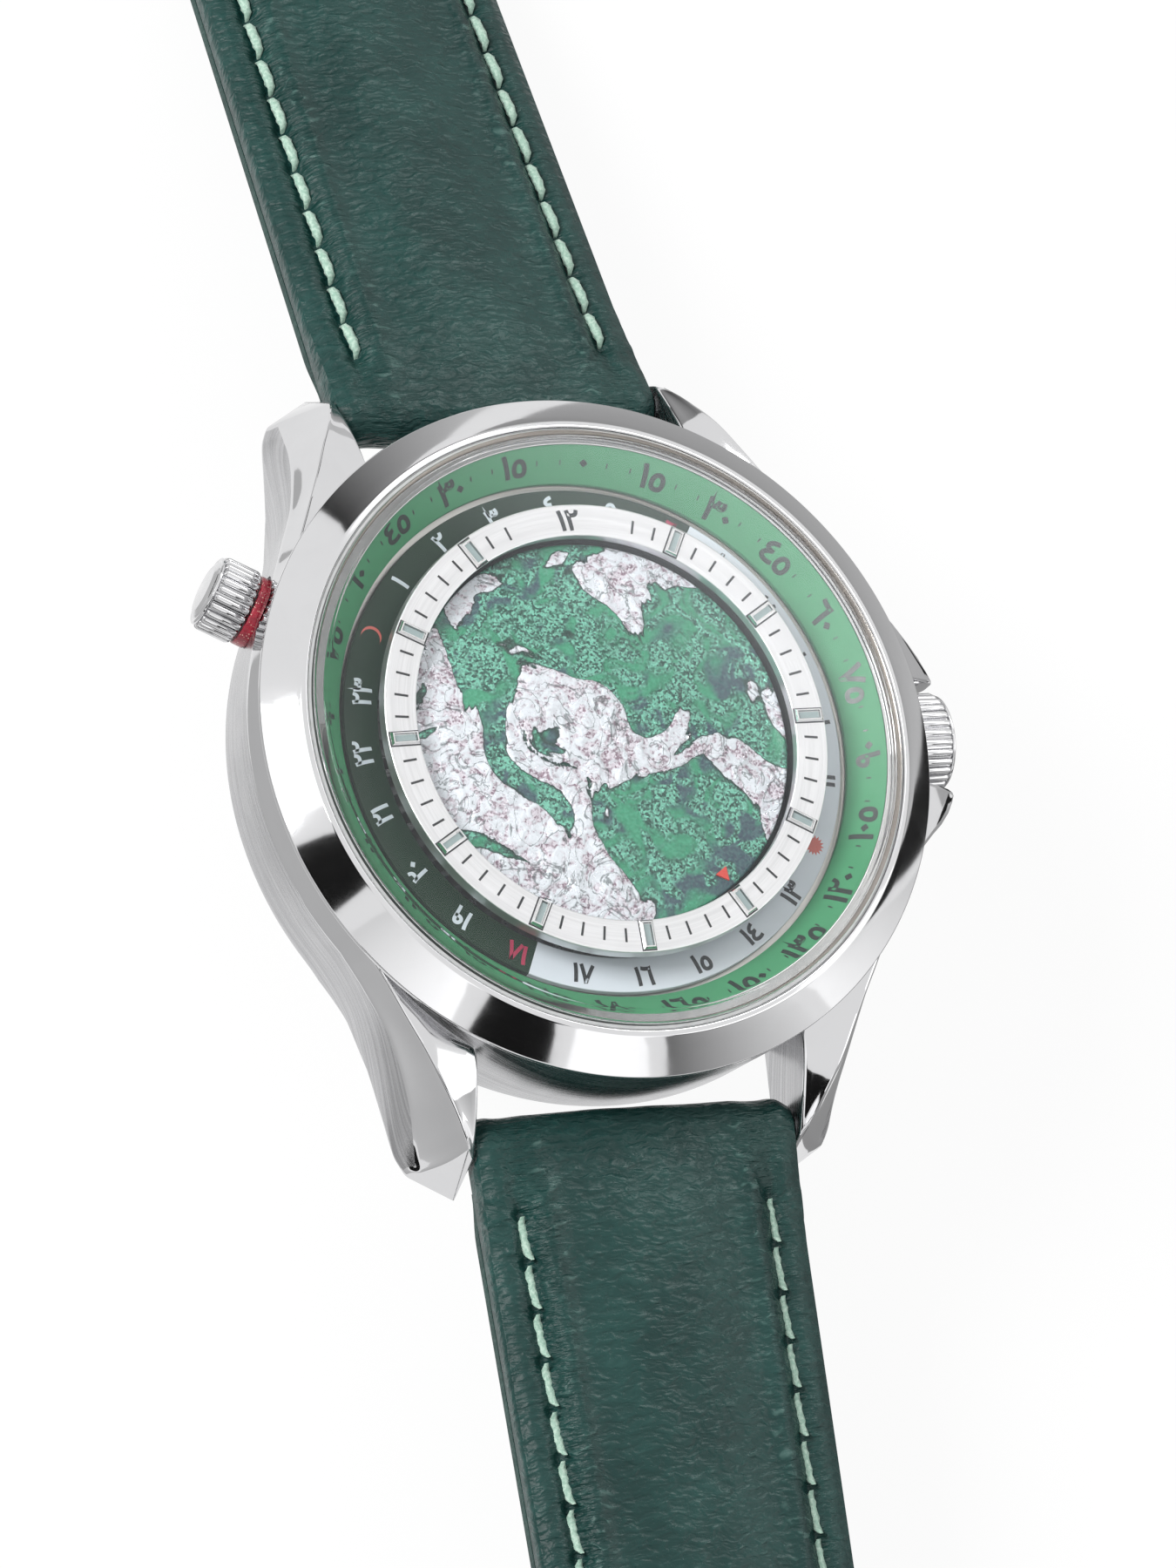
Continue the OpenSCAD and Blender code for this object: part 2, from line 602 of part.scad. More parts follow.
module place_ring_gear() color("goldenrod") {
    body_z = place_tooth_z + 1.15 * place_m;
    difference() {
        translate([0, 0, body_z]) flat_disc(place_gear_out, place_z - body_z, place_teeth);
        translate([0, 0, body_z - 1]) flat_disc(place_gear_in, 5, place_teeth);
    }
    half_w = place_m * PI * 0.2;
    for (i = [0 : place_teeth - 1]) rotate(90 + set_angle + 360 / place_teeth * i)
        translate([place_gear_in + 0.02, 0, body_z]) rotate([90, 0, 90])
            linear_extrude(place_gear_out - place_gear_in - 0.04)
                polygon([[-half_w, 0], [-half_w / 2, -2 * place_m], [half_w / 2, -2 * place_m], [half_w, 0]]);
}

// Crown with straight flutes, on the +X axis from x outward
module fluted_crown(x, r, l, flutes) {
    difference() {
        union() {
            along_x(x + 0.15, r - 0.15, l - 0.35);
            translate([x + l, 0, crown_z]) rotate([0, -90, 0])
                spin([[0, -0.25], [r * 0.5, -0.2], [r - 0.6, 0], [r - 0.25, 0.25], [r - 0.25, 0.4],
                    [0, 0.4]]);
            translate([x, 0, crown_z]) rotate([0, 90, 0]) linear_extrude(l - 0.35)
                polygon([for (i = [0 : flutes - 1], k = [[-0.3, 0.2], [-0.14, 0], [0.14, 0], [0.3, 0.2]])
                    (r - k[1]) * [cos(360 / flutes * (i + k[0])), sin(360 / flutes * (i + k[0]))]]);
        }
        along_x(x - 1, 0.6, 2);
    }
}

set_crown_x = spot_r + collar_t + face_gap;
module setting_crown() color("silver") at_setting() fluted_crown(set_crown_x, set_r, set_l, set_flutes);

module setting_stem() color("gray") at_setting() {
    along_x(place_gear_in + 0.8, 0.6, set_crown_x + 1 - place_gear_in - 0.8);
    along_x(plate_r + 1.5, 0.4, place_gear_in - plate_r - 1.4);
    translate([place_gear_in + 0.02, 0, crown_z]) rotate([0, 90, 0])
        gear(set_pinion_teeth, place_m, place_gear_out - place_gear_in - 0.04);
}

crown_x = case_r + 0.35;
module winding_crown() color("silver") fluted_crown(crown_x, crown_r, crown_l, crown_flutes);

stem_in = 9.2;
groove_x = stem_in + 0.35;
module winding_stem() color("gray") difference() {
    union() {
        along_x(groove_x, 0.3, 1);
        along_x(stem_in, 0.5, groove_x - stem_in);
        along_x(groove_x + 0.4, 0.5, 3.2);
        along_x(groove_x + 3, 0.6, crown_x + 1 - groove_x - 3);
    }
}

module winding_pinion() color("goldenrod") difference() {
    translate([groove_x + 1, 0, crown_z]) rotate([0, 90, 0]) gear(10, 0.16, 0.9);
    along_x(groove_x, 0.5, 3);
}

module setting_lever() color("gray") difference() {
    translate([groove_x + 0.08, -0.8, crown_z - 0.35]) cube([0.24, 1.6, 1.5]);
    along_x(groove_x - 1, 0.3 + run, 3);
    translate([groove_x - 1, -0.3 - run, crown_z - 1]) cube([3, 0.6 + 2 * run, 1]);
}

module main_plate() color("lightgray") difference() {
    union() {
        translate([0, 0, plate_z]) cylinder(r = plate_r, h = plate_t);
        rotate(idler_angle) translate([idler_d, 0, plate_top - 0.1]) cylinder(r = 0.5, h = gear_t + 0.15);
    }
    translate([0, 0, motion_floor]) difference() {
        union() {
            cylinder(r = 3.0, h = 3);
            rotate(minute_angle) translate([minute_d, 0, 0])
                cylinder(r = 2.9, h = plate_top - motion_floor + 0.04);
        }
        rotate(minute_angle) translate([minute_d, 0, -1]) cylinder(r = 0.3, h = 1.85);
    }
    for (p = train_places) translate([p[0], p[1], plate_z - 1])
        cylinder(r = jewel_r, h = p == [0, 0] ? 5 : 1 + jewel_t);
}

barrel_base = 4.7;
barrel_t = 1.2;
barrel_gear_z = barrel_base + barrel_t - 0.3;
wheel_t = 0.2;
train_pinion_t = 0.4;
centre_level = 4.2;
fourth_level = 4.7;
third_level = 5.3;
escape_level = 5.6;
balance_level = 4.45;
module barrel() color("goldenrod") translate([barrel_at[0], barrel_at[1], barrel_base]) difference() {
    union() {
        flat_disc(barrel_pr - 0.4, barrel_t);
        translate([0, 0, barrel_gear_z - barrel_base]) gear(barrel_teeth, train_m, 0.25,
            mesh(barrel_angle, centre_pinion, 0, barrel_teeth));
    }
    translate([0, 0, 0.15]) flat_disc(barrel_pr - 0.7, barrel_t - 0.45);
    translate([0, 0, -1]) flat_disc(0.7, 4, 24);
}

module mainspring() color("lightsteelblue") translate([barrel_at[0], barrel_at[1], barrel_base + 0.2])
    linear_extrude(barrel_t - 0.6) polygon(spiral_strip(1.0, barrel_pr - 0.95, 6, 12, 0.12));

module barrel_arbor() color("gray") translate([barrel_at[0], barrel_at[1], 0]) {
    translate([0, 0, bridge_z - 0.6]) cylinder(r = 0.45, h = plate_z - bridge_z + 0.6);
    translate([0, 0, barrel_base + 0.2]) cylinder(r = 0.6, h = barrel_t - 0.4);
}

module ratchet_wheel() color("gainsboro")
    translate([barrel_at[0], barrel_at[1], bridge_z - 0.45]) difference() {
        gear(48, 0.12, 0.4);
        translate([0, 0, -1]) cylinder(r = 0.45, h = 3);
    }

// Arbor of a train wheel between two jewels
module arbor(r, low, high) {
    translate([0, 0, low + 0.35]) flat_disc(r, high - low - 0.7, 12);
    translate([0, 0, low]) flat_disc(pivot_r, high - low, 12);
}
arbor_low = bridge_top - jewel_t + 0.05;
arbor_high = plate_z + jewel_t - 0.05;

module centre_wheel() color("goldenrod") {
    translate([0, 0, arbor_low]) flat_disc(arbor_r - 0.1, disc_z + 0.2 - arbor_low, 12);
    translate([0, 0, bridge_top + 0.1]) flat_disc(0.5, 1.5, 12);
    translate([0, 0, barrel_gear_z - 0.15]) gear(centre_pinion, train_m, 0.5);
    translate([0, 0, barrel_gear_z - 0.4]) flat_disc(0.5, 0.4, 12);
    translate([0, 0, centre_level]) spoked_gear(centre_teeth, train_m, wheel_t, 0, 0.8, 0.6);
}

cannon_turn = 0;
minute_turn = mesh(minute_angle, cannon_teeth, cannon_turn, minute_teeth);
module cannon_pinion() color("gray") difference() {
    union() {
        translate([0, 0, motion_floor + 0.1]) gear(cannon_teeth, motion_m, 0.35, cannon_turn);
        translate([0, 0, motion_floor + 0.1]) flat_disc(cannon_r, disc_z + 0.25 - motion_floor - 0.1, 24);
    }
    translate([0, 0, plate_z - 1]) flat_disc(arbor_r - 0.1 + run, 8, 12);
}

minute_pinion_turn = mesh(minute_angle, hour_low_teeth, 0, minute_pinion_teeth);
module minute_wheel() color("goldenrod")
    rotate(minute_angle) translate([minute_d, 0, motion_floor + 0.15]) difference() {
        rotate(-minute_angle) union() {
            gear(minute_teeth, motion_m, 0.25, minute_turn);
            gear(minute_pinion_teeth, motion_m, 0.7, minute_pinion_turn);
        }
        translate([0, 0, -1]) flat_disc(0.38, 3, 24);
    }

third_turn = mesh(third_angle, centre_teeth, 0, third_pinion);
module third_wheel() color("goldenrod") translate([third_at[0], third_at[1], 0]) {
    arbor(0.25, arbor_low, arbor_high);
    translate([0, 0, centre_level - 0.1]) gear(third_pinion, train_m, train_pinion_t, third_turn);
    translate([0, 0, third_level]) spoked_gear(third_teeth, third_m, wheel_t, 0, 0.6, 0.5);
}

fourth_turn = mesh(fourth_angle, third_teeth, 0, fourth_pinion);
module fourth_wheel() color("goldenrod") translate([fourth_at[0], fourth_at[1], 0]) {
    arbor(0.22, arbor_low, arbor_high);
    translate([0, 0, third_level - 0.1]) gear(fourth_pinion, third_m, train_pinion_t, fourth_turn);
    translate([0, 0, fourth_level]) spoked_gear(fourth_teeth, fourth_m, wheel_t, 0, 0.55, 0.45);
}

escape_turn = mesh(escape_angle, fourth_teeth, 0, escape_pinion);
module escape_wheel() color("gainsboro") translate([escape_at[0], escape_at[1], 0]) {
    arbor(0.2, arbor_low, arbor_high);
    translate([0, 0, fourth_level - 0.1]) gear(escape_pinion, fourth_m, train_pinion_t, escape_turn);
    translate([0, 0, escape_level]) linear_extrude(0.15)
        difference() {
            polygon([for (i = [0 : 14], k = [[1.75, 0], [escape_r, 9], [escape_r, 11], [1.8, 12]])
                k[0] * [cos(24 * i + k[1]), sin(24 * i + k[1])]]);
            for (i = [0 : 3]) rotate(90 * i + 45) translate([1.0, 0]) polygon(ring_points(0.45, 12));
        }
}

module pallet_fork() color("gray") translate([pallet_at[0], pallet_at[1], 0]) {
    arbor(0.2, arbor_low, arbor_high);
    to_escape = pallet_angle + 180;
    translate([0, 0, escape_level - 0.05]) linear_extrude(wheel_t) {
        rotate(balance_angle) polygon([[-0.35, -0.3], [balance_d - 1.4, -0.14], [balance_d - 1.05, -0.4],
            [balance_d - 0.7, -0.4], [balance_d - 0.95, -0.12], [balance_d - 0.95, 0.12],
            [balance_d - 0.7, 0.4], [balance_d - 1.05, 0.4], [balance_d - 1.4, 0.14], [-0.35, 0.3]]);
        rotate(to_escape) polygon([[0.3, -0.3], [0.55, -1.9], [0.95, -2.2], [0.15, -2.3], [-0.3, -0.5],
            [-0.3, 0.5], [0.15, 2.3], [0.95, 2.2], [0.55, 1.9], [0.3, 0.3]]);
    }
}

module balance_wheel() color("goldenrod") translate([balance_at[0], balance_at[1], 0]) {
    arbor(0.2, arbor_low, arbor_high);
    translate([0, 0, balance_level]) difference() {
        flat_disc(balance_r, 0.4);
        translate([0, 0, -past]) flat_disc(balance_r - 0.45, 3);
    }
    for (a = [0 : 90 : 270]) rotate(a) translate([0, -0.15, balance_level + 0.1])
        cube([balance_r - 0.3, 0.3, wheel_t]);
    translate([0, 0, third_level]) flat_disc(0.5, 0.12, 24);
}

module balance_spring() color("steelblue") translate([balance_at[0], balance_at[1], balance_level - 0.3])
    linear_extrude(0.15) polygon(spiral_strip(0.45, balance_r - 1.35, 9, 15, 0.06));

// Bridges share one disc, parted by straight gaps
bridge_r = plate_r - 0.25;
cock_half = balance_r + 0.7;
screw_places = [[-9.5, -4.3], [-7.5, 9.15], [2.6, 11.3], [10.4, 5.4], [10.6, -5.4], [4.6, -10.2],
    [-6.9, -9.9]];
module bridge_part(outline, feet) {
    difference() {
        union() {
            translate([0, 0, bridge_z]) intersection() {
                cylinder(r = bridge_r, h = bridge_t);
                linear_extrude(bridge_t) polygon(outline);
            }
            for (f = feet) translate([screw_places[f][0], screw_places[f][1], bridge_z])
                cylinder(r = 0.95, h = plate_z - bridge_z);
        }
        for (f = feet) translate([screw_places[f][0], screw_places[f][1], bridge_z - 1]) {
            cylinder(r = 0.75, h = 1.35);
            cylinder(r = 0.4, h = 3);
        }
        for (p = train_places) translate([p[0], p[1], bridge_top - jewel_t]) cylinder(r = jewel_r, h = 1);
        translate([barrel_at[0], barrel_at[1], bridge_z - 1]) cylinder(r = 0.45 + seat, h = 3);
    }
}
module barrel_bridge() color("lightgray")
    bridge_part([[-14, -5.5], [-4.6, -5.5], [-1.2, -1.6], [1.6, -1.6], [1.6, 2.6], [4.2, 14], [-14, 14]],
        [0, 1, 2]);
module train_bridge() color("lightgray") difference() {
    bridge_part([[1.75, 2.4], [4.4, 14], [14, 14], [14, -14], [2.7, -14], [2.7, -5.6], [1.0, -3.2],
        [1.0, -1.75], [1.75, -1.75]], [3, 4, 5]);
    translate([groove_x - 0.4, -1.3, bridge_z - past]) cube([crown_pull + 3.6, 2.6, 3]);
}
module balance_cock() color("lightgray")
    bridge_part([[-4.4, -5.8], [-3.0, -6.9], [-1.4, -6.9], [0.0, -6.2], [2.1, -5.9], [2.1, -8], [-1.6, -10.3],
        [-2.2, -11.5], [-9.0, -13], [-11, -5.8]], [6]);

module bridge_screws() color("steelblue") for (p = screw_places)
    translate([p[0], p[1], bridge_z - 0.1]) difference() {
        union() {
            cylinder(r = 0.7, h = 0.4);
            cylinder(r = 0.35, h = 1.8);
        }
        translate([-1, -0.08, -1]) cube([2, 0.16, 1.15]);
    }

module jewels() color("deeppink") {
    for (p = train_places) if (p != [0, 0]) {
        translate([p[0], p[1], bridge_top - jewel_t]) jewel();
        translate([p[0], p[1], plate_z]) jewel();
    }
    translate([0, 0, bridge_top - jewel_t]) jewel(arbor_r - 0.1 + run);
    translate([0, 0, plate_z]) jewel(arbor_r - 0.1 + run);
}
module jewel(bore = pivot_r + run) difference() {
    cylinder(r = jewel_r, h = jewel_t);
    translate([0, 0, -1]) cylinder(r = bore, h = 3);
}

rotor_z = window_t + 0.35;
module rotor_bearing() color("gray") {
    translate([0, 0, rotor_z - 0.1]) cylinder(r = 1.0, h = bridge_z - rotor_z + 0.1);
    translate([0, 0, rotor_z - 0.2]) cylinder(r = 1.5, h = 0.15);
}
module rotor() color("lightgray") difference() {
    union() {
        translate([0, 0, rotor_z]) linear_extrude(0.45) {
            circle(r = 2.4);
            intersection() {
                circle(r = rotor_r - 1.2);
                polygon([[0, 3], [-rotor_r, 0.4], [-rotor_r, -rotor_r], [rotor_r, -rotor_r], [rotor_r, 0.4]]);
            }
        }
        translate([0, 0, rotor_z]) intersection() {
            spin([[rotor_r - 2.6, 0], [rotor_r, 0], [rotor_r, rotor_rim_t], [rotor_r - 2.6, rotor_rim_t]]);
            translate([-rotor_r - 1, -2 * rotor_r, -1]) cube([2 * rotor_r + 2, 2 * rotor_r + 0.4, 4]);
        }
    }
    translate([0, 0, rotor_z - 1]) cylinder(r = 1.0 + run, h = 5);
    for (a = [-135, -90, -45]) rotate(a) translate([6, 0, rotor_z - 1]) cylinder(r = 1.5, h = 1.46);
}

// Strap leather section at distance s: a raised pad between two stitched edges
function strap_section(path, half, pad, s) =
    let (p = path_at(path, s), a = lookup(s, path), w = lookup(s, half), top = lookup(s, pad),
        edge = min(top, lookup(s, edge_drop)), k = min(1, w / (strap_end_w / 2)))
    [for (q = [[-w, -leather_low], [w, -leather_low], [w, edge - 0.35], [w - 0.4 * k, edge],
            [w - 2.4 * k, edge], [w - 3.8 * k, (edge + 2 * top) / 3], [w - 5.5 * k, top], [-w + 5.5 * k, top],
            [-w + 3.8 * k, (edge + 2 * top) / 3], [-w + 2.4 * k, edge], [-w + 0.4 * k, edge],
            [-w, edge - 0.35]])
        [q[0], p[0] + q[1] * sin(a), p[1] + q[1] * cos(a)]];

function lining_section(path, half, s) =
    let (p = path_at(path, s), a = lookup(s, path), w = lookup(s, half) - 0.02, low = leather_low + lining_t)
    [for (q = [[-w, -low], [w, -low], [w, -leather_low], [-w, -leather_low]])
        [q[0], p[0] + q[1] * sin(a), p[1] + q[1] * cos(a)]];

// Places a child on the strap at distance s, with its Z square to the strap
module on_path(path, s) {
    p = path_at(path, s);
    translate([0, p[0], p[1]]) rotate([-lookup(s, path), 0, 0]) children();
}

module cross_bar(r, w) {
    translate([-w / 2, 0, 0]) rotate([0, 90, 0]) cylinder(r = r, h = w);
}

module strap_12_leather() color("darkslategray") difference() {
    union() {
        skin([for (s = short_stations) strap_section(short_path, short_half, short_pad, s)]);
        on_path(short_path, 0) cross_bar(fold_r, strap_w);
        on_path(short_path, short_l) cross_bar(end_fold_r, strap_end_w);
    }
    on_path(short_path, 0) cross_bar(bar_r + run, strap_w + 2);
    on_path(short_path, short_l) {
        cross_bar(buckle_bar_r + run, strap_end_w + 2);
        translate([-slot_w / 2, -end_fold_r - 1.35, -2 * end_fold_r])
            cube([slot_w, 4.2 * end_fold_r, 4 * end_fold_r]);
    }
}

module strap_12_lining() color("seagreen")
    skin([for (s = concat([lining_from], [for (s = short_stations) if (s > 3 && s < short_l - lining_end) s],
            [short_l - lining_end]))
        lining_section(short_path, short_half, s)]);

module strap_holes() {
    for (i = [0 : holes_n - 1]) on_path(long_path, hole_start + hole_pitch * i)
        translate([0, 0, -2 * pad_h]) cylinder(r = hole_r, h = 4 * pad_h, $fn = 32);
}

module strap_6_leather() color("darkslategray") mirror([0, 1, 0]) difference() {
    union() {
        skin([for (s = long_stations) strap_section(long_path, long_half, long_pad, s)]);
        on_path(long_path, 0) cross_bar(fold_r, strap_w);
    }
    on_path(long_path, 0) cross_bar(bar_r + run, strap_w + 2);
    strap_holes();
}

module strap_6_lining() color("seagreen") mirror([0, 1, 0]) difference() {
    skin([for (s = concat([lining_from], [for (s = long_stations) if (s > 3) s]))
        lining_section(long_path, long_half, s)]);
    strap_holes();
}

// Leather loop that holds the tucked strap end
module keeper(s) on_path(short_path, s) {
    w = strap_end_w / 2 + 2 * seat;
    low = leather_low + lining_t + 2 * seat;
    high = 4.6;
    translate([0, keeper_w / 2, 0]) rotate([90, 0, 0]) linear_extrude(keeper_w) difference() {
        polygon([[-w - keeper_t, -low], [-w, -low - keeper_t], [w, -low - keeper_t], [w + keeper_t, -low],
            [w + keeper_t, high], [w - 0.6, high + keeper_t], [-w + 0.6, high + keeper_t],
            [-w - keeper_t, high]]);
        polygon([[-w, -low], [w, -low], [w, high - 0.2], [w - 0.6, high], [-w + 0.6, high],
            [-w, high - 0.2]]);
    }
}
module fixed_keeper() color("darkslategray") keeper(keeper_fix_s);
module free_keeper() color("darkslategray") keeper(keeper_free_s);

frame_bar = 1.8;
tongue_z = 0.55;
module buckle_frame() color("silver") translate([0, buckle_at[0], buckle_at[1]]) difference() {
    union() {
        for (side = [0, 1]) mirror([side, 0, 0]) translate([buckle_in / 2, 0, 0]) rotate([90, 0, 90])
            linear_extrude((buckle_w - buckle_in) / 2)
                polygon(concat([for (a = [90 : 15 : 270]) buckle_t / 2 * [1.2 * cos(a), sin(a)]],
                    [[buckle_l, -buckle_t / 2], [buckle_l, buckle_t / 2]]));
        translate([-buckle_w / 2, buckle_l - frame_bar, -buckle_t / 2]) cube([buckle_w, frame_bar, buckle_t]);
    }
    cross_bar(buckle_bar_r + 0.005, buckle_w - 1.2);
    translate([-tongue_w / 2 - 0.2, buckle_l - frame_bar - 1, tongue_z - 0.05]) cube([tongue_w + 0.4, 5, 3]);
}

module buckle_bar() color("gray") translate([0, buckle_at[0], buckle_at[1]])
    cross_bar(buckle_bar_r, buckle_w - 1.3);

module buckle_tongue() color("silver") translate([0, buckle_at[0], buckle_at[1]]) difference() {
    union() {
        cross_bar(buckle_bar_r + 0.65, tongue_w);
        translate([-tongue_w / 2, 0, 0]) rotate([90, 0, 90]) linear_extrude(tongue_w)
            polygon([[0, tongue_z - 0.6], [2, tongue_z], [buckle_l, tongue_z],
                [buckle_l + 0.2, tongue_z + 0.5], [buckle_l - 0.3, tongue_z + 1.1], [1, tongue_z + 1.0],
                [0, tongue_z + 0.85]]);
    }
    cross_bar(buckle_bar_r + run, tongue_w + 2);
}

mid_case();
bezel();
crystal();
crystal_gasket();
case_back();
back_window();
crown_tube();
setting_collar();
casing_ring();
spring_bar_12();
spring_bar_6();
inner_flange();
dial_base();
chapter_ring();
hour_markers();
marker_inlays();
hour_disc();
hour_pointer();
hour_wheel();
day_night_ring();
day_night_gear();
idler_wheel();
place_ring();
place_ring_gear();
setting_crown();
setting_stem();
winding_crown();
winding_stem();
winding_pinion();
setting_lever();
main_plate();
barrel();
mainspring();
barrel_arbor();
ratchet_wheel();
centre_wheel();
cannon_pinion();
minute_wheel();
third_wheel();
fourth_wheel();
escape_wheel();
pallet_fork();
balance_wheel();
balance_spring();
balance_cock();
train_bridge();
barrel_bridge();
bridge_screws();
jewels();
rotor();
rotor_bearing();
strap_12_leather();
strap_12_lining();
strap_6_leather();
strap_6_lining();
fixed_keeper();
free_keeper();
buckle_frame();
buckle_bar();
buckle_tongue();
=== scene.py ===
# %% [markdown]
# # A world-time wristwatch on a padded leather strap
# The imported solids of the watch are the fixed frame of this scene, at their real size and place.
# The looks are built round them: the case, crystal, rings and straps are modelled again with
# rounded edges and real relief, and the pieces of the movement keep their solids and get a better
# finish. Lengths are written in millimetres and turned into metres where a mesh is made, because a
# watchmaker thinks in millimetres.

# %% Load the frame
import math

import bmesh
import bpy
import numpy as np
from mathutils import Matrix, Vector, noise


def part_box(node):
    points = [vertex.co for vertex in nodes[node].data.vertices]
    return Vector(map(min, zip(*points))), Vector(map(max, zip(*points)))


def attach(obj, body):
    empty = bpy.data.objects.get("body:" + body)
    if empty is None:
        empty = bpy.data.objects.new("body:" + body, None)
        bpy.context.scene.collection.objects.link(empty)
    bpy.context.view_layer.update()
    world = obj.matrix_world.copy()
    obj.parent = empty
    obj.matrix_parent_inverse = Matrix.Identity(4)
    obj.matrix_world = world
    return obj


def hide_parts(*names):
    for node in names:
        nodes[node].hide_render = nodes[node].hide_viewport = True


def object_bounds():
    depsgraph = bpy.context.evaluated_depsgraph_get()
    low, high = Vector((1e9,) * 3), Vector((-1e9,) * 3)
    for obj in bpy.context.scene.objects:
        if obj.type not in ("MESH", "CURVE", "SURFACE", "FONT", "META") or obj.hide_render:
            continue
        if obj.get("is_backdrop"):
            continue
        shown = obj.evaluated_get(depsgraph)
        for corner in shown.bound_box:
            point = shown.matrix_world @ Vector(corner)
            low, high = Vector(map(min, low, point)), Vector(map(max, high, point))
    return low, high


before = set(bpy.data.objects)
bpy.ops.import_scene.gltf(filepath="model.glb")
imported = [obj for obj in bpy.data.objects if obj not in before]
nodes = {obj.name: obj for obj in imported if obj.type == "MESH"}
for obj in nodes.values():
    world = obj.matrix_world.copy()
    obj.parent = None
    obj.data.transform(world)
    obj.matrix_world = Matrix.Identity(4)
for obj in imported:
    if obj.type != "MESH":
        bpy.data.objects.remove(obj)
cad_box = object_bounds()
MM = 0.001
print("solids:", len(nodes), "box in mm:", [round(c / MM, 2) for corner in cad_box for c in corner])

# %% [markdown]
# ## Small helpers for meshes
# Most pieces are rows of points joined to a closed skin. A turned piece is one outline spun round
# the axis of the watch. Sharp corners never look real in metal, so a corner of an outline is first
# cut into a short curve, with a point beside it that keeps the flat faces flat when they are shaded
# smoothly.


# %% Rows of points to meshes
def finish_mesh(mesh, smooth_angle=40, weld=True):
    """Merges doubled points, turns the faces outward and shades the mesh smooth between sharp edges."""
    work = bmesh.new()
    work.from_mesh(mesh)
    if weld:
        bmesh.ops.remove_doubles(work, verts=work.verts, dist=2e-7)
    bmesh.ops.recalc_face_normals(work, faces=work.faces)
    work.to_mesh(mesh)
    work.free()
    mesh.shade_smooth()
    mesh.set_sharp_from_angle(angle=math.radians(smooth_angle))


def show(name, data):
    """An object for a mesh, lamp, camera or text, put into the scene."""
    made = bpy.data.objects.new(name, data)
    bpy.context.scene.collection.objects.link(made)
    return made


def new_piece(name, points, faces, smooth_angle=40, kinds=None, kept=None):
    """A mesh object from points in millimetres.

    kinds gives each face its material's number. kept is the name of an attribute and its value at each
    point; a piece with an attribute has no doubled points.
    """
    mesh = bpy.data.meshes.new(name)
    mesh.from_pydata((np.array(points, float) * MM).tolist(), [], faces)
    if kinds is not None:
        mesh.polygons.foreach_set("material_index", kinds)
    if kept:
        values = np.array(kept[1], np.float32)
        kind, field = ("FLOAT_VECTOR", "vector") if values.ndim == 2 else ("FLOAT", "value")
        mesh.attributes.new(kept[0], kind, "POINT").data.foreach_set(field, values.ravel())
    finish_mesh(mesh, smooth_angle, weld=not kept)
    return show(name, mesh)


def skin_faces(rows, count, around=True, along=False, caps=True):
    """Faces of a grid of rows with count points each; around and along close it, caps cover its ends."""
    faces = []
    for i in range(rows if along else rows - 1):
        for j in range(count if around else count - 1):
            a, b = i * count + j, i * count + (j + 1) % count
            step = ((i + 1) % rows - i) * count
            faces.append((a, b, b + step, a + step))
    if caps and not along:
        faces.append(tuple(range(count))[::-1])
        faces.append(tuple((rows - 1) * count + j for j in range(count)))
    return faces


def skin(name, rows, smooth_angle=40, kinds=None, **how):
    """A piece from rows of points, closed to a skin."""
    points = [p for row in rows for p in row]
    return new_piece(name, points, skin_faces(len(rows), len(rows[0]), **how), smooth_angle, kinds)


# %% Rounded corners and turned pieces
CORNER_STEPS = 4  # stretches of one rounded corner
BESIDE_CORNER = 1.25  # where the point beside a corner stands, in lengths of the corner


def soften(outline, corner):
    """The closed outline with its corners rounded; corner is how far from a corner the curve starts."""
    made = []
    for i, here in enumerate(outline):
        p, before, after = (np.array(outline[k % len(outline)], float) for k in (i, i - 1, i + 1))
        back, ahead = before - p, after - p
        reach = min(corner, 0.4 * np.linalg.norm(back), 0.4 * np.linalg.norm(ahead))
        back, ahead = back / np.linalg.norm(back), ahead / np.linalg.norm(ahead)
        on_axis, nearly_straight = here[0] == 0, back @ ahead < -0.97
        if on_axis or nearly_straight:
            made.append(tuple(p))
            continue
        made.append(tuple(p + BESIDE_CORNER * reach * back))
        for k in range(CORNER_STEPS + 1):
            t = k / CORNER_STEPS
            made.append(tuple(p + reach * ((1 - t) ** 2 * back + t ** 2 * ahead)))
        made.append(tuple(p + BESIDE_CORNER * reach * ahead))
    return made


def turned(name, outline, corner=0.06, steps=240, place=None, smooth_angle=40):
    """A piece turned on a lathe: an outline of (radius, height) points spun round Z and put in place."""
    ring = soften(outline, corner) if corner else outline
    rows = []
    for k in range(steps):
        a = 2 * math.pi * k / steps
        rows.append([(r * math.cos(a), r * math.sin(a), z) for r, z in ring])
    if place is not None:
        rows = [[tuple(place @ Vector(p)) for p in row] for row in rows]
    return skin(name, rows, smooth_angle, along=True)


# %% Body and finish of a piece
def carry(piece, body, slot, *replaced):
    """Attaches a piece to the body that carries it and hides the solids it stands for; slot is not used."""
    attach(piece, body)
    if replaced:
        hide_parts(*replaced)
    return piece


def dress(piece, material, body, slot, *replaced):
    """Gives a finished piece its material and its body, and hides the solids it stands for; slot is not used.
    """
    piece.data.materials.clear()
    piece.data.materials.append(material)
    return carry(piece, body, slot, *replaced)

# %% [markdown]
# ## Camera
# The photo is a product shot from above and from the left of the strap, with a long lens, so the
# dial is nearly a true ellipse. The direction comes from the dial's ellipse and from the two ends
# of the strap, and the distance from how much the near lugs grow.

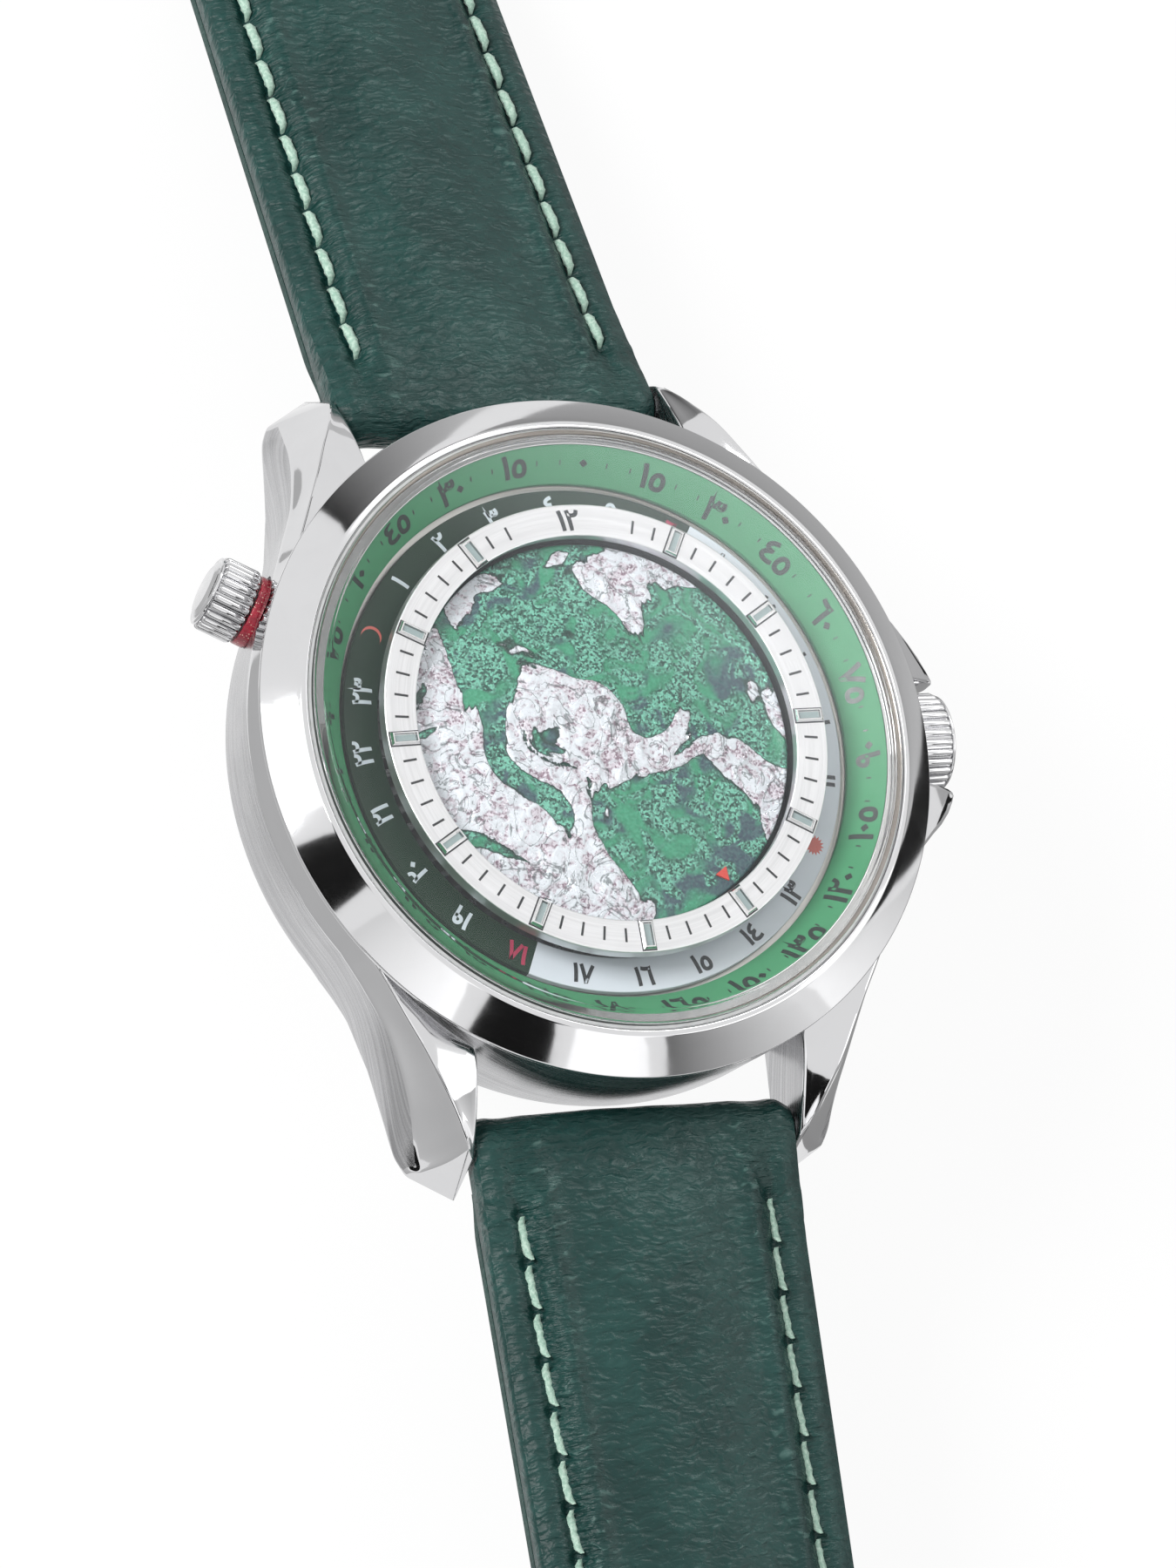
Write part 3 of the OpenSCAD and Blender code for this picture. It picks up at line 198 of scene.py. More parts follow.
# %% The camera at the photo's angle
VIEW_RIGHT = Vector((0.9146, -0.1800, 0.3622))
VIEW_UP = Vector((0.0532, 0.9413, 0.3333))
VIEW_BACK = Vector((-0.4009, -0.2855, 0.8705))
AIM = Vector((0, 0, 11.6))
DISTANCE = 764.5
ASIDE = Vector((-1.339, -3.516))
LENS = 302

camera_data = bpy.data.cameras.new("camera")
camera_data.sensor_fit = "VERTICAL"
camera_data.sensor_height = 36
camera_data.lens = LENS
camera_data.clip_start = 0.05
camera_data.clip_end = 20
camera = show("camera", camera_data)
turn = Matrix((VIEW_RIGHT.normalized(), VIEW_UP.normalized(), VIEW_BACK.normalized())).transposed()
spot = AIM + DISTANCE * VIEW_BACK + ASIDE[0] * VIEW_RIGHT + ASIDE[1] * VIEW_UP
camera.matrix_world = Matrix.Translation(spot * MM) @ turn.to_4x4()
bpy.context.scene.camera = camera
bpy.context.scene.view_settings.view_transform = "Standard"
print("camera at", [round(c) for c in spot], "mm")

# %% [markdown]
# ## Small helpers for materials
# A material is a chain of nodes. One helper adds a node with its properties and inputs, so that a
# material reads as a short recipe. Effects that several finishes share, such as brushing or grain,
# are node groups with named inputs: they put out heights and masks, and the shader itself stays in
# each material.


# %% Adding nodes and groups
def feed(tree, node, ins):
    """Sets or links inputs of a node, by name or number; a low line in a name stands for a space."""
    for key, value in dict(ins).items():
        socket = node.inputs[key.replace("_", " ") if isinstance(key, str) else key]
        if isinstance(value, bpy.types.NodeSocket):
            tree.links.new(value, socket)
        else:
            socket.default_value = value


def give(tree, kind, ins=(), **props):
    """Adds a node by its full type name, sets its properties, and sets or links its inputs."""
    made = tree.nodes.new(kind)
    for key, value in props.items():
        setattr(made, key, value)
    feed(tree, made, ins)
    return made


def put(tree, kind, ins=(), **props):
    """Adds a shader node."""
    return give(tree, "ShaderNode" + kind, ins, **props)


def maths(tree, operation, a, b=0.0, c=0.0):
    """One sum of numbers or sockets."""
    return put(tree, "Math", {0: a, 1: b, 2: c}, operation=operation).outputs[0]


def vectors(tree, operation, a, b):
    """One sum of two vectors, or of a vector and a scale."""
    second = "Scale" if operation == "SCALE" else 1
    return put(tree, "VectorMath", {0: a, second: b}, operation=operation).outputs[0]


def away(tree, value, middle):
    """How far a value is from a middle one."""
    return maths(tree, "ABSOLUTE", maths(tree, "SUBTRACT", value, middle))


# %% Ranges, mixes and noise
def mapped(tree, value, low, high, to_low=0.0, to_high=1.0, smooth=True):
    """A value moved from one range to another, kept inside it."""
    kind = "SMOOTHSTEP" if smooth else "LINEAR"
    ins = {"Value": value, "From Min": low, "From Max": high, "To Min": to_low, "To Max": to_high}
    return put(tree, "MapRange", ins, interpolation_type=kind).outputs["Result"]


def blend_colours(tree, share, one, two, kind="MIX"):
    """A mix of two colours by a share from 0 to 1."""
    return put(tree, "Mix", {0: share, 6: one, 7: two}, data_type="RGBA", blend_type=kind).outputs[2]


def clouds(tree, place, scale, detail=2, roughness=0.5, distortion=0.0):
    """Outputs of a soft noise; scale is how many clouds it has in a unit of the place."""
    ins = {"Vector": place, "Scale": scale, "Detail": detail}
    ins.update({"Roughness": roughness, "Distortion": distortion})
    return put(tree, "TexNoise", ins).outputs


# %% Groups and materials
def group(name, inputs, outputs, build):
    """A shader node group; build gets the tree and its input sockets and returns the output sockets."""
    tree = bpy.data.node_groups.new(name, "ShaderNodeTree")
    for label, value in inputs.items():
        kind = "NodeSocketVector" if hasattr(value, "__len__") else "NodeSocketFloat"
        tree.interface.new_socket(label, in_out="INPUT", socket_type=kind).default_value = value
    for label in outputs:
        tree.interface.new_socket(label, in_out="OUTPUT", socket_type="NodeSocketFloat")
    source = tree.nodes.new("NodeGroupInput")
    sink = tree.nodes.new("NodeGroupOutput")
    feed(tree, sink, zip(outputs, build(tree, source.outputs)))
    return tree


def use(tree, shared, **inputs):
    """Places a shared group in a material and returns its outputs."""
    return put(tree, "Group", inputs, node_tree=shared).outputs


def new_material(name, **inputs):
    """A material with one Principled shader, whose plain inputs are set on it."""
    made = bpy.data.materials.new(name)
    made.use_nodes = True
    tree = made.node_tree
    shader = tree.nodes["Principled BSDF"]
    feed(tree, shader, inputs)
    return made, tree, shader


def srgb(red, green, blue):
    """A colour as a screen shows it, from 0 to 255, as the linear colour that shaders take."""
    shares = [value / 255 for value in (red, green, blue)]
    return (*(s / 12.92 if s <= 0.04045 else ((s + 0.055) / 1.055) ** 2.4 for s in shares), 1)


def shaded(colour, share):
    """A colour made darker by a share."""
    return tuple(c * (1 - share) for c in colour[:3]) + (1,)


def bump(tree, shader, height, depth):
    """Feeds a height of 0 to 1 into the shader's normal; depth is in millimetres."""
    made = put(tree, "Bump", {"Height": height, "Distance": depth * MM, "Strength": 1.0})
    feed(tree, shader, {"Normal": made.outputs[0]})


def object_place(tree):
    """Object coordinates in millimetres."""
    return vectors(tree, "SCALE", put(tree, "TexCoord").outputs["Object"], 1 / MM)

# %% [markdown]
# ## Floor, background and light
# The photo has a pure white background. The floor is pale, keeps a soft shadow, and shows white to
# the camera and to metal and glass. Light comes from a large soft lamp above and left of the watch
# and from a plain sky. The sharp black patches on the polished bezel are reflections of black
# boards that stand round the watch in the studio, so boards stand here too; only reflections see
# them.

# %% White floor and sky
FLOOR_Z = cad_box[0].z / MM
FLOOR_HALF = 2500
SKY_LIGHT = 0.52
FLOOR_GLOW, GLOW_SHARE = 1.03, 0.88
WHITE = (1, 1, 1, 1)
SEEN_WHITE = ("Is Camera Ray", "Is Glossy Ray", "Is Transmission Ray")


def rays(tree, *kinds):
    """1 for rays of the kinds given and 0 for the others."""
    ray = put(tree, "LightPath").outputs
    found = ray[kinds[0]]
    for kind in kinds[1:]:
        found = maths(tree, "MAXIMUM", found, ray[kind])
    return found


def mix_out(tree, share, one, two):
    """Sends a mix of two shaders to the material's output."""
    mix = put(tree, "MixShader", {0: share, 1: one.outputs[0], 2: two.outputs[0]})
    feed(tree, tree.nodes["Material Output"], {"Surface": mix.outputs[0]})


def white_floor():
    """Matt white floor; most of what the eye sees of it is plain white, the rest keeps the shadow."""
    made, tree, shader = new_material("floor_white", Base_Color=(0.9, 0.9, 0.9, 1), Roughness=0.9,
                                      Specular_IOR_Level=0.1)
    glow = put(tree, "Emission", {"Color": WHITE, "Strength": FLOOR_GLOW})
    mix_out(tree, maths(tree, "MULTIPLY", rays(tree, *SEEN_WHITE), GLOW_SHARE), shader, glow)
    return made


floor_corners = [(x, y, FLOOR_Z) for x, y in ((-FLOOR_HALF, -FLOOR_HALF), (FLOOR_HALF, -FLOOR_HALF),
                                              (FLOOR_HALF, FLOOR_HALF), (-FLOOR_HALF, FLOOR_HALF))]
floor = new_piece("floor", floor_corners, [(0, 1, 2, 3)])
floor.data.materials.append(white_floor())
floor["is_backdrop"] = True

world = bpy.data.worlds.new("studio")
world.use_nodes = True
bpy.context.scene.world = world
sky = world.node_tree
level = mapped(sky, rays(sky, *SEEN_WHITE), 0, 1, SKY_LIGHT, 1.0, smooth=False)
feed(sky, sky.nodes["Background"], {"Strength": level, "Color": WHITE})

# %% Lamps
def facing(centre):
    """A place at a centre whose Z axis points away from the watch."""
    return Matrix.Translation(centre) @ centre.to_track_quat("Z", "Y").to_matrix().to_4x4()


LAMPS = [
    # direction to the lamp, distance and size in mm, power in W
    ("key_lamp", (-0.80, 0.25, 0.62), 900, 380, 6.6),
    ("fill_lamp", (0.75, -0.30, 0.60), 1000, 700, 1.4),
]
for name, toward, far, size, power in LAMPS:
    lamp = bpy.data.lights.new(name, "AREA")
    lamp.shape = "SQUARE"
    lamp.size = size * MM
    lamp.energy = power
    show(name, lamp).matrix_world = facing(Vector(toward).normalized() * far * MM)


# %% Boards and cards for the mirrors
def card(name, points, shades, faces=((0, 1, 2, 3),)):
    """A card that only mirrors see; each point has a shade from 0 for black to 1 for white."""
    made = new_piece(name, points, list(faces), kept=("shade", shades))
    paint, tree, _ = new_material(name)
    shade = put(tree, "Attribute", attribute_name="shade").outputs["Fac"]
    glow = put(tree, "Emission", {"Color": WHITE, "Strength": shade})
    feed(tree, tree.nodes["Material Output"], {"Surface": glow.outputs[0]})
    made.data.materials.append(paint)
    made.visible_camera = made.visible_diffuse = made.visible_shadow = made.visible_transmission = False
    made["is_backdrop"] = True


# radius and height of the middle of the bezel's sloping face, and its normal outward and upward
# %% Cards that the bezel mirrors
FACE_R, FACE_Z, FACE_OUT, FACE_UP = 20.2, 10.1, 0.614, 0.789


def mirrored_in_bezel(azimuth):
    """Where the bezel's sloping face shows the room: the way from the camera, mirrored at the face.

    The azimuth is counter-clockwise from 3 o'clock.
    """
    a = math.radians(azimuth)
    look = (Vector((FACE_R * math.cos(a), FACE_R * math.sin(a), FACE_Z)) - spot).normalized()
    normal = Vector((FACE_OUT * math.cos(a), FACE_OUT * math.sin(a), FACE_UP)).normalized()
    return look - 2 * look.dot(normal) * normal


BEZEL_CARDS = [
    # azimuth and shade where the bezel starts to show it and where it ends, length and distance in mm
    ("board_eleven", 136, 96, 0.015, 0.75, 340, 600),
    ("board_twelve", 96, 62, 0.75, 0.6, 340, 600),
    ("board_eight", 196, 208, 0.01, 0.01, 340, 600),
    ("board_seven", 236, 250, 0.01, 0.01, 340, 600),
    ("board_five", 270, 298, 0.17, 0.95, 340, 600),
    ("white_card", 172, 192, 1.5, 1.5, 400, 650),
    ("card_seven", 212, 233, 0.85, 1.5, 400, 640),
    ("card_six", 253, 267, 1.5, 1.4, 400, 640),
    ("card_four", 302, 348, 1.35, 0.5, 400, 640),
]
for name, start, end, near, far_shade, length, far in BEZEL_CARDS:
    first, last = (mirrored_in_bezel(a) * far for a in (start, end))
    across = (last - first).cross(first + last).normalized() * (length / 2)
    corners = [tuple(p) for p in (first - across, last - across, last + across, first + across)]
    card(name, corners, [near, far_shade, far_shade, near])

# %% Soft box, sheets and walls
softbox = facing(Vector((235, 285, 485)))
SOFTBOX_X, SOFTBOX_Y = 210, 75  # half its width and half its height
corners = [tuple(softbox @ Vector((sx * SOFTBOX_X, sy * SOFTBOX_Y, 0)))
           for sx, sy in ((-1, -1), (1, -1), (1, 1), (-1, 1))]
card("softbox_over_dial", corners, [9.0, 9.0, 1.0, 1.0])

SHEETS = [
    # near and far edge along X, both ends along Y, shade at the near and the far edge
    ("sheet_right", 24, 190, -60, 150, 0.32, 0.95),
    ("sheet_left", -26, -150, -80, 80, 0.55, 1.0),
]
SHEET_Z = -11.3
for name, x0, x1, y0, y1, near, far_shade in SHEETS:
    corners = [(x, y, SHEET_Z) for x, y in ((x0, y0), (x1, y0), (x1, y1), (x0, y1))]
    card(name, corners, [near, far_shade, far_shade, near])

WALLS = [
    # dark cards that stand round the watch: start and end azimuth, low and high edge, shade and radius
    ("low_card_left", 118, 252, -2, 8, 0.01, 75),
    ("crest_card", 214, 250, 95, 260, 0.02, 600),
    ("low_card_right", 288, 392, -2, 6, 0.02, 75),
]
WALL_STEPS = 24
for name, start, end, low, high, shade, radius in WALLS:
    angles = np.radians(np.linspace(start, end, WALL_STEPS))
    points = [(radius * math.cos(a), radius * math.sin(a), z) for z in (low, high) for a in angles]
    faces = skin_faces(2, WALL_STEPS, around=False, caps=False)
    card(name, points, [shade] * len(points), faces)
print("lamps:", len(LAMPS), "cards:", len(BEZEL_CARDS) + len(SHEETS) + len(WALLS) + 1)

# %% [markdown]
# ## Finishes that several pieces share
# Steel is brushed in long fine lines, polished faces carry faint smudges, dial rings and wheels are
# turned in circles, and leather has a grain of short creases. Each effect is a group that gives a
# height or a mask; the materials below only choose its values.


# %% Shared finishes
def build_round(tree, ins):
    """Angle and radius round Z of a place in millimetres."""
    parts = put(tree, "SeparateXYZ", {0: ins["Place"]}).outputs
    angle = maths(tree, "ARCTAN2", parts[1], parts[0])
    flat = put(tree, "CombineXYZ", {0: parts[0], 1: parts[1]}).outputs[0]
    radius = put(tree, "VectorMath", {0: flat}, operation="LENGTH").outputs["Value"]
    return angle, radius, parts[2]


def build_brush(tree, ins):
    """Long fine lines: two noises, each stretched along the stroke."""
    across = vectors(tree, "MULTIPLY", ins["Place"], ins["Fineness"])
    fine, coarse = (clouds(tree, vectors(tree, "SCALE", across, share), 1.0, detail, 0.6)[0]
                    for share, detail in ((1.0, 3), (0.31, 2)))
    lines = maths(tree, "MULTIPLY_ADD", coarse, 0.4, maths(tree, "MULTIPLY", fine, 0.6))
    return lines, mapped(tree, lines, 0.35, 0.65)


def build_smudge(tree, ins):
    """Cloudy patches, as on handled steel."""
    cloud = clouds(tree, ins["Place"], ins["Size"], 4, 0.62, 0.4)[0]
    return [mapped(tree, cloud, 0.4, 0.7)]


def build_grain(tree, ins):
    """Leather: short creases that lie across the strap, and fine pores."""
    drift = vectors(tree, "SCALE", clouds(tree, ins["Place"], 0.5)["Color"], ins["Bend"])
    place = vectors(tree, "MULTIPLY", vectors(tree, "ADD", ins["Place"], drift), ins["Fineness"])
    crease = clouds(tree, place, 1.0, 1, distortion=0.4)[0]
    cells = put(tree, "TexVoronoi", {"Vector": place, "Scale": 1.6, "Randomness": 1.0},
                feature="DISTANCE_TO_EDGE").outputs[0]
    pore = clouds(tree, ins["Place"], 5.0, 1)[0]
    height = maths(tree, "MULTIPLY_ADD", mapped(tree, cells, 0.0, 0.5), 0.08, crease)
    height = maths(tree, "MULTIPLY_ADD", mapped(tree, pore, 0.28, 0.40), 0.05, height)
    return height, mapped(tree, crease, 0.3, 0.7)


PLACE, FINENESS = {"Place": (0, 0, 0)}, {"Fineness": (1, 1, 1)}
round_place = group("round_place", PLACE, ["Angle", "Radius", "Height"], build_round)
brush = group("brush_lines", PLACE | FINENESS, ["Height", "Streak"], build_brush)
smudge = group("smudges", PLACE | {"Size": 0.35}, ["Cloud"], build_smudge)
grain = group("leather_grain", PLACE | FINENESS | {"Bend": 1.0}, ["Height", "Crease"], build_grain)
print("shared groups:", [shared.name for shared in (round_place, brush, smudge, grain)])

# %% [markdown]
# ## Metals
# One recipe serves every metal: a plain colour, lines of a turning tool or of a brush, and smudges
# that only change the roughness. Lines run round the axis where the piece was turned on a lathe,
# and along a chosen direction where it was drawn over a belt.


# %% Metal finishes
def metal(name, colour, rough=0.2, fineness=None, depth=0.0, turned_lines=False, smear=0.08, tint=0.06):
    """Steel, brass or nickel, plain or with brushed or turned lines.

    fineness is how many lines there are in a millimetre along X, Y and Z. For turned lines it is how many
    there are along the angle, the radius and the height.
    """
    made, tree, shader = new_material(name, Metallic=1.0)
    place = object_place(tree)
    marks = use(tree, smudge, Place=place)
    roughness = maths(tree, "MULTIPLY_ADD", marks["Cloud"], smear, rough)
    if fineness:
        if turned_lines:
            polar = use(tree, round_place, Place=place)
            ins = {0: polar["Angle"], 1: polar["Radius"], 2: polar["Height"]}
            place = put(tree, "CombineXYZ", ins).outputs[0]
        lines = use(tree, brush, Place=place, Fineness=fineness)
        bump(tree, shader, lines["Height"], depth)
        roughness = maths(tree, "MULTIPLY_ADD", lines["Streak"], 0.5 * smear, roughness)
        tone = blend_colours(tree, lines["Streak"], shaded(colour, 2 * tint), colour)
    else:
        tone = blend_colours(tree, marks["Cloud"], colour, shaded(colour, tint))
    feed(tree, shader, {"Base Color": tone, "Roughness": roughness})
    return made


STEEL = (0.68, 0.68, 0.69, 1)
polished = metal("polished_steel", STEEL, 0.045, smear=0.03, tint=0.02)
bezel_steel = metal("bezel_steel", (0.71, 0.71, 0.72, 1), 0.06, smear=0.02, tint=0.02)
turned_steel = metal("turned_steel", (0.62, 0.62, 0.63, 1), 0.2, (0.5, 9, 3), 0.004, turned_lines=True)
silver_dial = metal("silvered_ring", (0.82, 0.82, 0.83, 1), 0.33, (2.5, 10, 1), 0.004, turned_lines=True)
nickel = metal("nickel_plate", (0.62, 0.61, 0.58, 1), 0.28, (2.2, 0.9, 1), 0.008, turned_lines=True)
gilt = metal("gilt_brass", (0.83, 0.60, 0.24, 1), 0.22, (0.8, 8, 2), 0.003, turned_lines=True)
spring_steel = metal("spring_steel", (0.56, 0.60, 0.68, 1), 0.2, (6, 6, 0.5), 0.002)
blued = metal("blued_steel", (0.035, 0.09, 0.42, 1), 0.16, (9, 9, 1), 0.002)
grey_steel = metal("bar_steel", (0.55, 0.55, 0.56, 1), 0.25, (0.5, 8, 8), 0.003)
marker_steel = metal("marker_steel", (0.80, 0.80, 0.80, 1), 0.08, smear=0.02)
print("metals made:", len(bpy.data.materials))

# %% [markdown]
# ## The two sides of the strap
# Each side is one piece of calf leather over a pad: thick between the seams, pressed flat at the
# edges, folded round the spring bar at the lug end. A cloth simulation would lose the sharp seam,
# so the side is drawn as a section that is swept along the strap's path, close enough together that
# seam, puckers and wrinkles are real shape. The path bends down from the case and runs out flat on
# the table, as the solids say.

# %% Strap sizes and paths
BAR_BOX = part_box("spring_bar_12")
BAR_Y = (BAR_BOX[0].y + BAR_BOX[1].y) / 2 / MM
BAR_Z = (BAR_BOX[0].z + BAR_BOX[1].z) / 2 / MM
STRAP_HALF, STRAP_END_HALF = 10.1, 9.0
SHORT_L, LONG_L = 75.0, 115.0
FOLD_R, LEATHER_LOW = 1.85, 0.6
SHORT_HEADING = [(0, 17), (33, 17), (50.8, 0), (SHORT_L, 0)]
LONG_HEADING = [(0, 4.3), (27.5, 4.3), (46.63, 18), (58.61, 18), (83.74, 0), (LONG_L, 0)]
SHORT_HALVES = [(0, STRAP_HALF), (0.7 * SHORT_L, STRAP_END_HALF), (SHORT_L, STRAP_END_HALF)]
LONG_HALVES = [(0, STRAP_HALF), (69, STRAP_END_HALF), (LONG_L - 13, STRAP_END_HALF),
               (LONG_L - 8, 8.4), (LONG_L - 4, 6.0), (LONG_L - 1.5, 3.4), (LONG_L, 1.0)]
SHORT_PADS = [(0, FOLD_R), (5, 2.5), (0.6 * SHORT_L, 2.125), (SHORT_L - 14, 1.5), (SHORT_L, 1.5)]
LONG_PADS = [(0, FOLD_R), (5, 2.5), (0.35 * LONG_L, 2.25), (0.7 * LONG_L, 1.3), (LONG_L, 1.2)]
EDGES = [(0, 1.7), (3, 1.4), (7, 1.05), (200, 1.05)]
SEAM_IN, STITCH_PITCH, STITCH_L = 2.15, 2.9, 2.25


def lookup(table, x):
    """Value of a table of (place, value) rows at x, straight between rows."""
    return float(np.interp(x, [row[0] for row in table], [row[1] for row in table]))


class Path:
    """Line of a strap side from its spring bar; side is 1 towards 12 o'clock and -1 towards 6 o'clock."""

    def __init__(self, heading, side):
        self.heading, self.side = heading, side
        self.s = np.linspace(0, heading[-1][0], 1501)
        angle = np.radians(np.interp((self.s[1:] + self.s[:-1]) / 2, *zip(*heading)))
        step = self.s[1]
        self.y = BAR_Y + np.concatenate([[0], np.cumsum(np.cos(angle))]) * step
        self.z = BAR_Z - np.concatenate([[0], np.cumsum(np.sin(angle))]) * step

    def at(self, s, x, height, turn=0.0):
        """The point x across and height above the line at distance s; turn goes round the line's end."""
        angle = math.radians(lookup(self.heading, s)) + turn
        y = float(np.interp(s, self.s, self.y)) + height * math.sin(angle)
        z = float(np.interp(s, self.s, self.z)) + height * math.cos(angle)
        return (x, self.side * y, z)


short_path, long_path = Path(SHORT_HEADING, 1), Path(LONG_HEADING, -1)
print("strap ends at", short_path.at(SHORT_L, 0, 0), long_path.at(LONG_L, 0, 0))

# %% [markdown]
# The section of the leather comes from the seams: a rounded border, a sunken line where the thread
# pulls, then the side of the pad. Where a stitch dives into its hole the leather is drawn down, and
# between the holes it swells a little. Fine wrinkles come from noise with a fixed place, so they
# are the same in every render.


# %% The leather's surface
def smooth(x, low, high):
    """0 below low, 1 above high and a soft step between."""
    t = min(1.0, max(0.0, (x - low) / (high - low)))
    return t * t * (3 - 2 * t)


def leather_height(s, x, half, top, edge, first_hole, last_hole):
    """Height of the outer face at distance s and place x across."""
    k = min(1.0, half / STRAP_END_HALF)
    d = (half - abs(x)) / k
    bead = edge - 0.42 * (1 - smooth(d, -0.25, 0.75)) + 0.06 * math.exp(-((d - 1.05) / 0.45) ** 2)
    pad_top = top * (1 - 0.035 * (x / half) ** 2)
    rise = 0.66 * smooth(d, SEAM_IN - 0.25, 3.7) + 0.34 * smooth(d, 4.0, 8.6)
    pad = edge + (pad_top - edge) * (rise + 0.07 * math.exp(-((d - 3.5) / 0.6) ** 2))
    height = bead if d < SEAM_IN - 0.25 else pad
    if first_hole - 1.5 < s < last_hole + 1.5:
        fade = smooth(s, first_hole - 1.4, first_hole) * (1 - smooth(s, last_hole, last_hole + 1.4))
        hole = (s - first_hole) / STITCH_PITCH
        to_hole = abs(hole - round(hole)) * STITCH_PITCH
        off = d - SEAM_IN
        height -= 0.2 * fade * math.exp(-(off / 0.42) ** 2)
        height -= 0.30 * fade * math.exp(-(to_hole / 0.45) ** 2 - (off / 0.5) ** 2)
        swell = 1 - math.exp(-(to_hole / 0.7) ** 2)
        beside = math.exp(-((off + 0.85) / 0.5) ** 2) + math.exp(-((off - 0.95) / 0.6) ** 2)
        height += 0.075 * fade * swell * beside
        crimp = noise.noise(Vector((x * 0.5, s * 2.6, 3.1)))
        height += 0.09 * fade * crimp * math.exp(-((off - 0.6) / 1.5) ** 2)
    wave = noise.fractal(Vector((x * 0.11, s * 0.26, 7.7)), 1.0, 2.0, 3)
    crease = noise.noise(Vector((x * 0.35 + 5, s * 1.15, 1.3)))
    fold = 0.0
    for end in (first_hole, last_hole):
        away = math.hypot(s - end, d - SEAM_IN)
        fan = math.sin(9 * math.atan2(d - SEAM_IN, abs(s - end) + 0.3) + 3 * crease)
        fold += 0.07 * fan * math.exp(-((away - 1.6) / 1.3) ** 2)
    return height + (0.07 * wave + 0.035 * crease) * smooth(d, 2.4, 6) + fold


# %% A leather side as one closed skin
FOLD_GAP, WRAP_STEPS = 0.05, 18


def leather_side(name, path, length, halves, pads, holes, end_fold, rows):
    """One leather side as a closed skin, with the place on the strap kept for its grain."""
    dense = [0.0, 0.08, 0.2, 0.36, 0.55] + [0.55 + 0.165 * i for i in range(1, 28)]
    inner = np.linspace(0, 1, 12)[1:]
    loop, places = [], []

    def row(s, turn=0.0):
        half, top = lookup(halves, s), lookup(pads, s)
        edge = min(lookup(EDGES, s), top)
        left = [-half + d * min(1.0, half / STRAP_END_HALF) for d in dense]
        left += [left[-1] * (1 - t) for t in inner]
        across = left + [-x for x in left[-2::-1]]
        ring = [(x, leather_height(s, x, half, top, edge, *holes)) for x in across]
        side = ring[0][1]
        thick = max(0.0, 1 - abs(turn) * 3)
        low = -LEATHER_LOW * thick - FOLD_GAP * (1 - thick)
        ring += [(half + 0.03, side * 0.6 + low * 0.4), (half, low + 0.12)]
        ring += [(half * t, low) for t in (0.985, 0.7, 0.35, 0, -0.35, -0.7, -0.985)]
        ring += [(-half, low + 0.12), (-half - 0.03, side * 0.6 + low * 0.4)]
        loop.append([path.at(s, x, h, turn) for x, h in ring])
        places.extend((x, s + turn * FOLD_R, h) for x, h in ring)

    wrap = [math.pi * i / WRAP_STEPS for i in range(WRAP_STEPS, 0, -1)]
    for turn in wrap:
        row(0.0, -turn)
    for i in range(rows + 1):
        row(length * i / rows)
    for turn in reversed(wrap if end_fold else []):
        row(length, turn)
    points = [p for r in loop for p in r]
    piece = new_piece(name, points, skin_faces(len(loop), len(loop[0])), 60, kept=("strap_place", places))
    print(name, "faces:", len(piece.data.polygons), "section points:", len(loop[0]))
    return piece


SHORT_STITCHES, LONG_STITCHES = 22, 33
SHORT_HOLES = (3.6, 3.6 + STITCH_PITCH * SHORT_STITCHES)
LONG_HOLES = (4.3, 4.3 + STITCH_PITCH * LONG_STITCHES)
strap_12 = leather_side("strap_12_leather_piece", short_path, SHORT_L, SHORT_HALVES, SHORT_PADS,
                        SHORT_HOLES, True, 300)
strap_6 = leather_side("strap_6_leather_piece", long_path, LONG_L, LONG_HALVES, LONG_PADS,
                       LONG_HOLES, False, 400)

# %% [markdown]
# The long side has seven holes and the short side a slot for the tongue. They are cut with a
# boolean from the finished leather, so that their walls are real.


# %% Holes and slot
def bake(piece):
    """Turns a piece with its modifiers into one plain mesh."""
    bpy.context.view_layer.update()
    graph = bpy.context.evaluated_depsgraph_get()
    mesh = bpy.data.meshes.new_from_object(piece.evaluated_get(graph), depsgraph=graph)
    piece.modifiers.clear()
    old = piece.data
    piece.data = mesh
    bpy.data.meshes.remove(old)
    mesh.name = piece.name
    return piece


def combine(piece, others, operation="DIFFERENCE", solver="MANIFOLD"):
    """Cuts closed pieces out of a piece, or joins them to it, and removes them."""
    for other in others:
        boolean = piece.modifiers.new("combine", "BOOLEAN")
        boolean.operation = operation
        boolean.solver = solver
        boolean.object = other
    bake(piece)
    for other in others:
        bpy.data.meshes.remove(other.data)
    return piece


def square_to(path, s):
    """Place on a strap side: X across, Y along and Z square to it, in millimetres."""
    angle = math.radians(lookup(path.heading, s))
    along = Vector((0, path.side * math.cos(angle), -math.sin(angle)))
    up = Vector((0, path.side * math.sin(angle), math.cos(angle)))
    made = Matrix((along.cross(up), along, up)).transposed().to_4x4()
    made.translation = Vector(path.at(s, 0, 0))
    return made


HOLE_R, HOLE_PITCH, HOLES, FIRST_HOLE = 0.9, 6.5, 7, 62.0
DEEP = 4  # how far a drill reaches to both sides


def drills():
    """One round cutter for each hole of the long side."""
    outline = [(0, -DEEP), (HOLE_R, -DEEP), (HOLE_R, DEEP), (0, DEEP)]
    return [turned(f"drill_{i}", outline, 0, 32, square_to(long_path, FIRST_HOLE + HOLE_PITCH * i))
            for i in range(HOLES)]


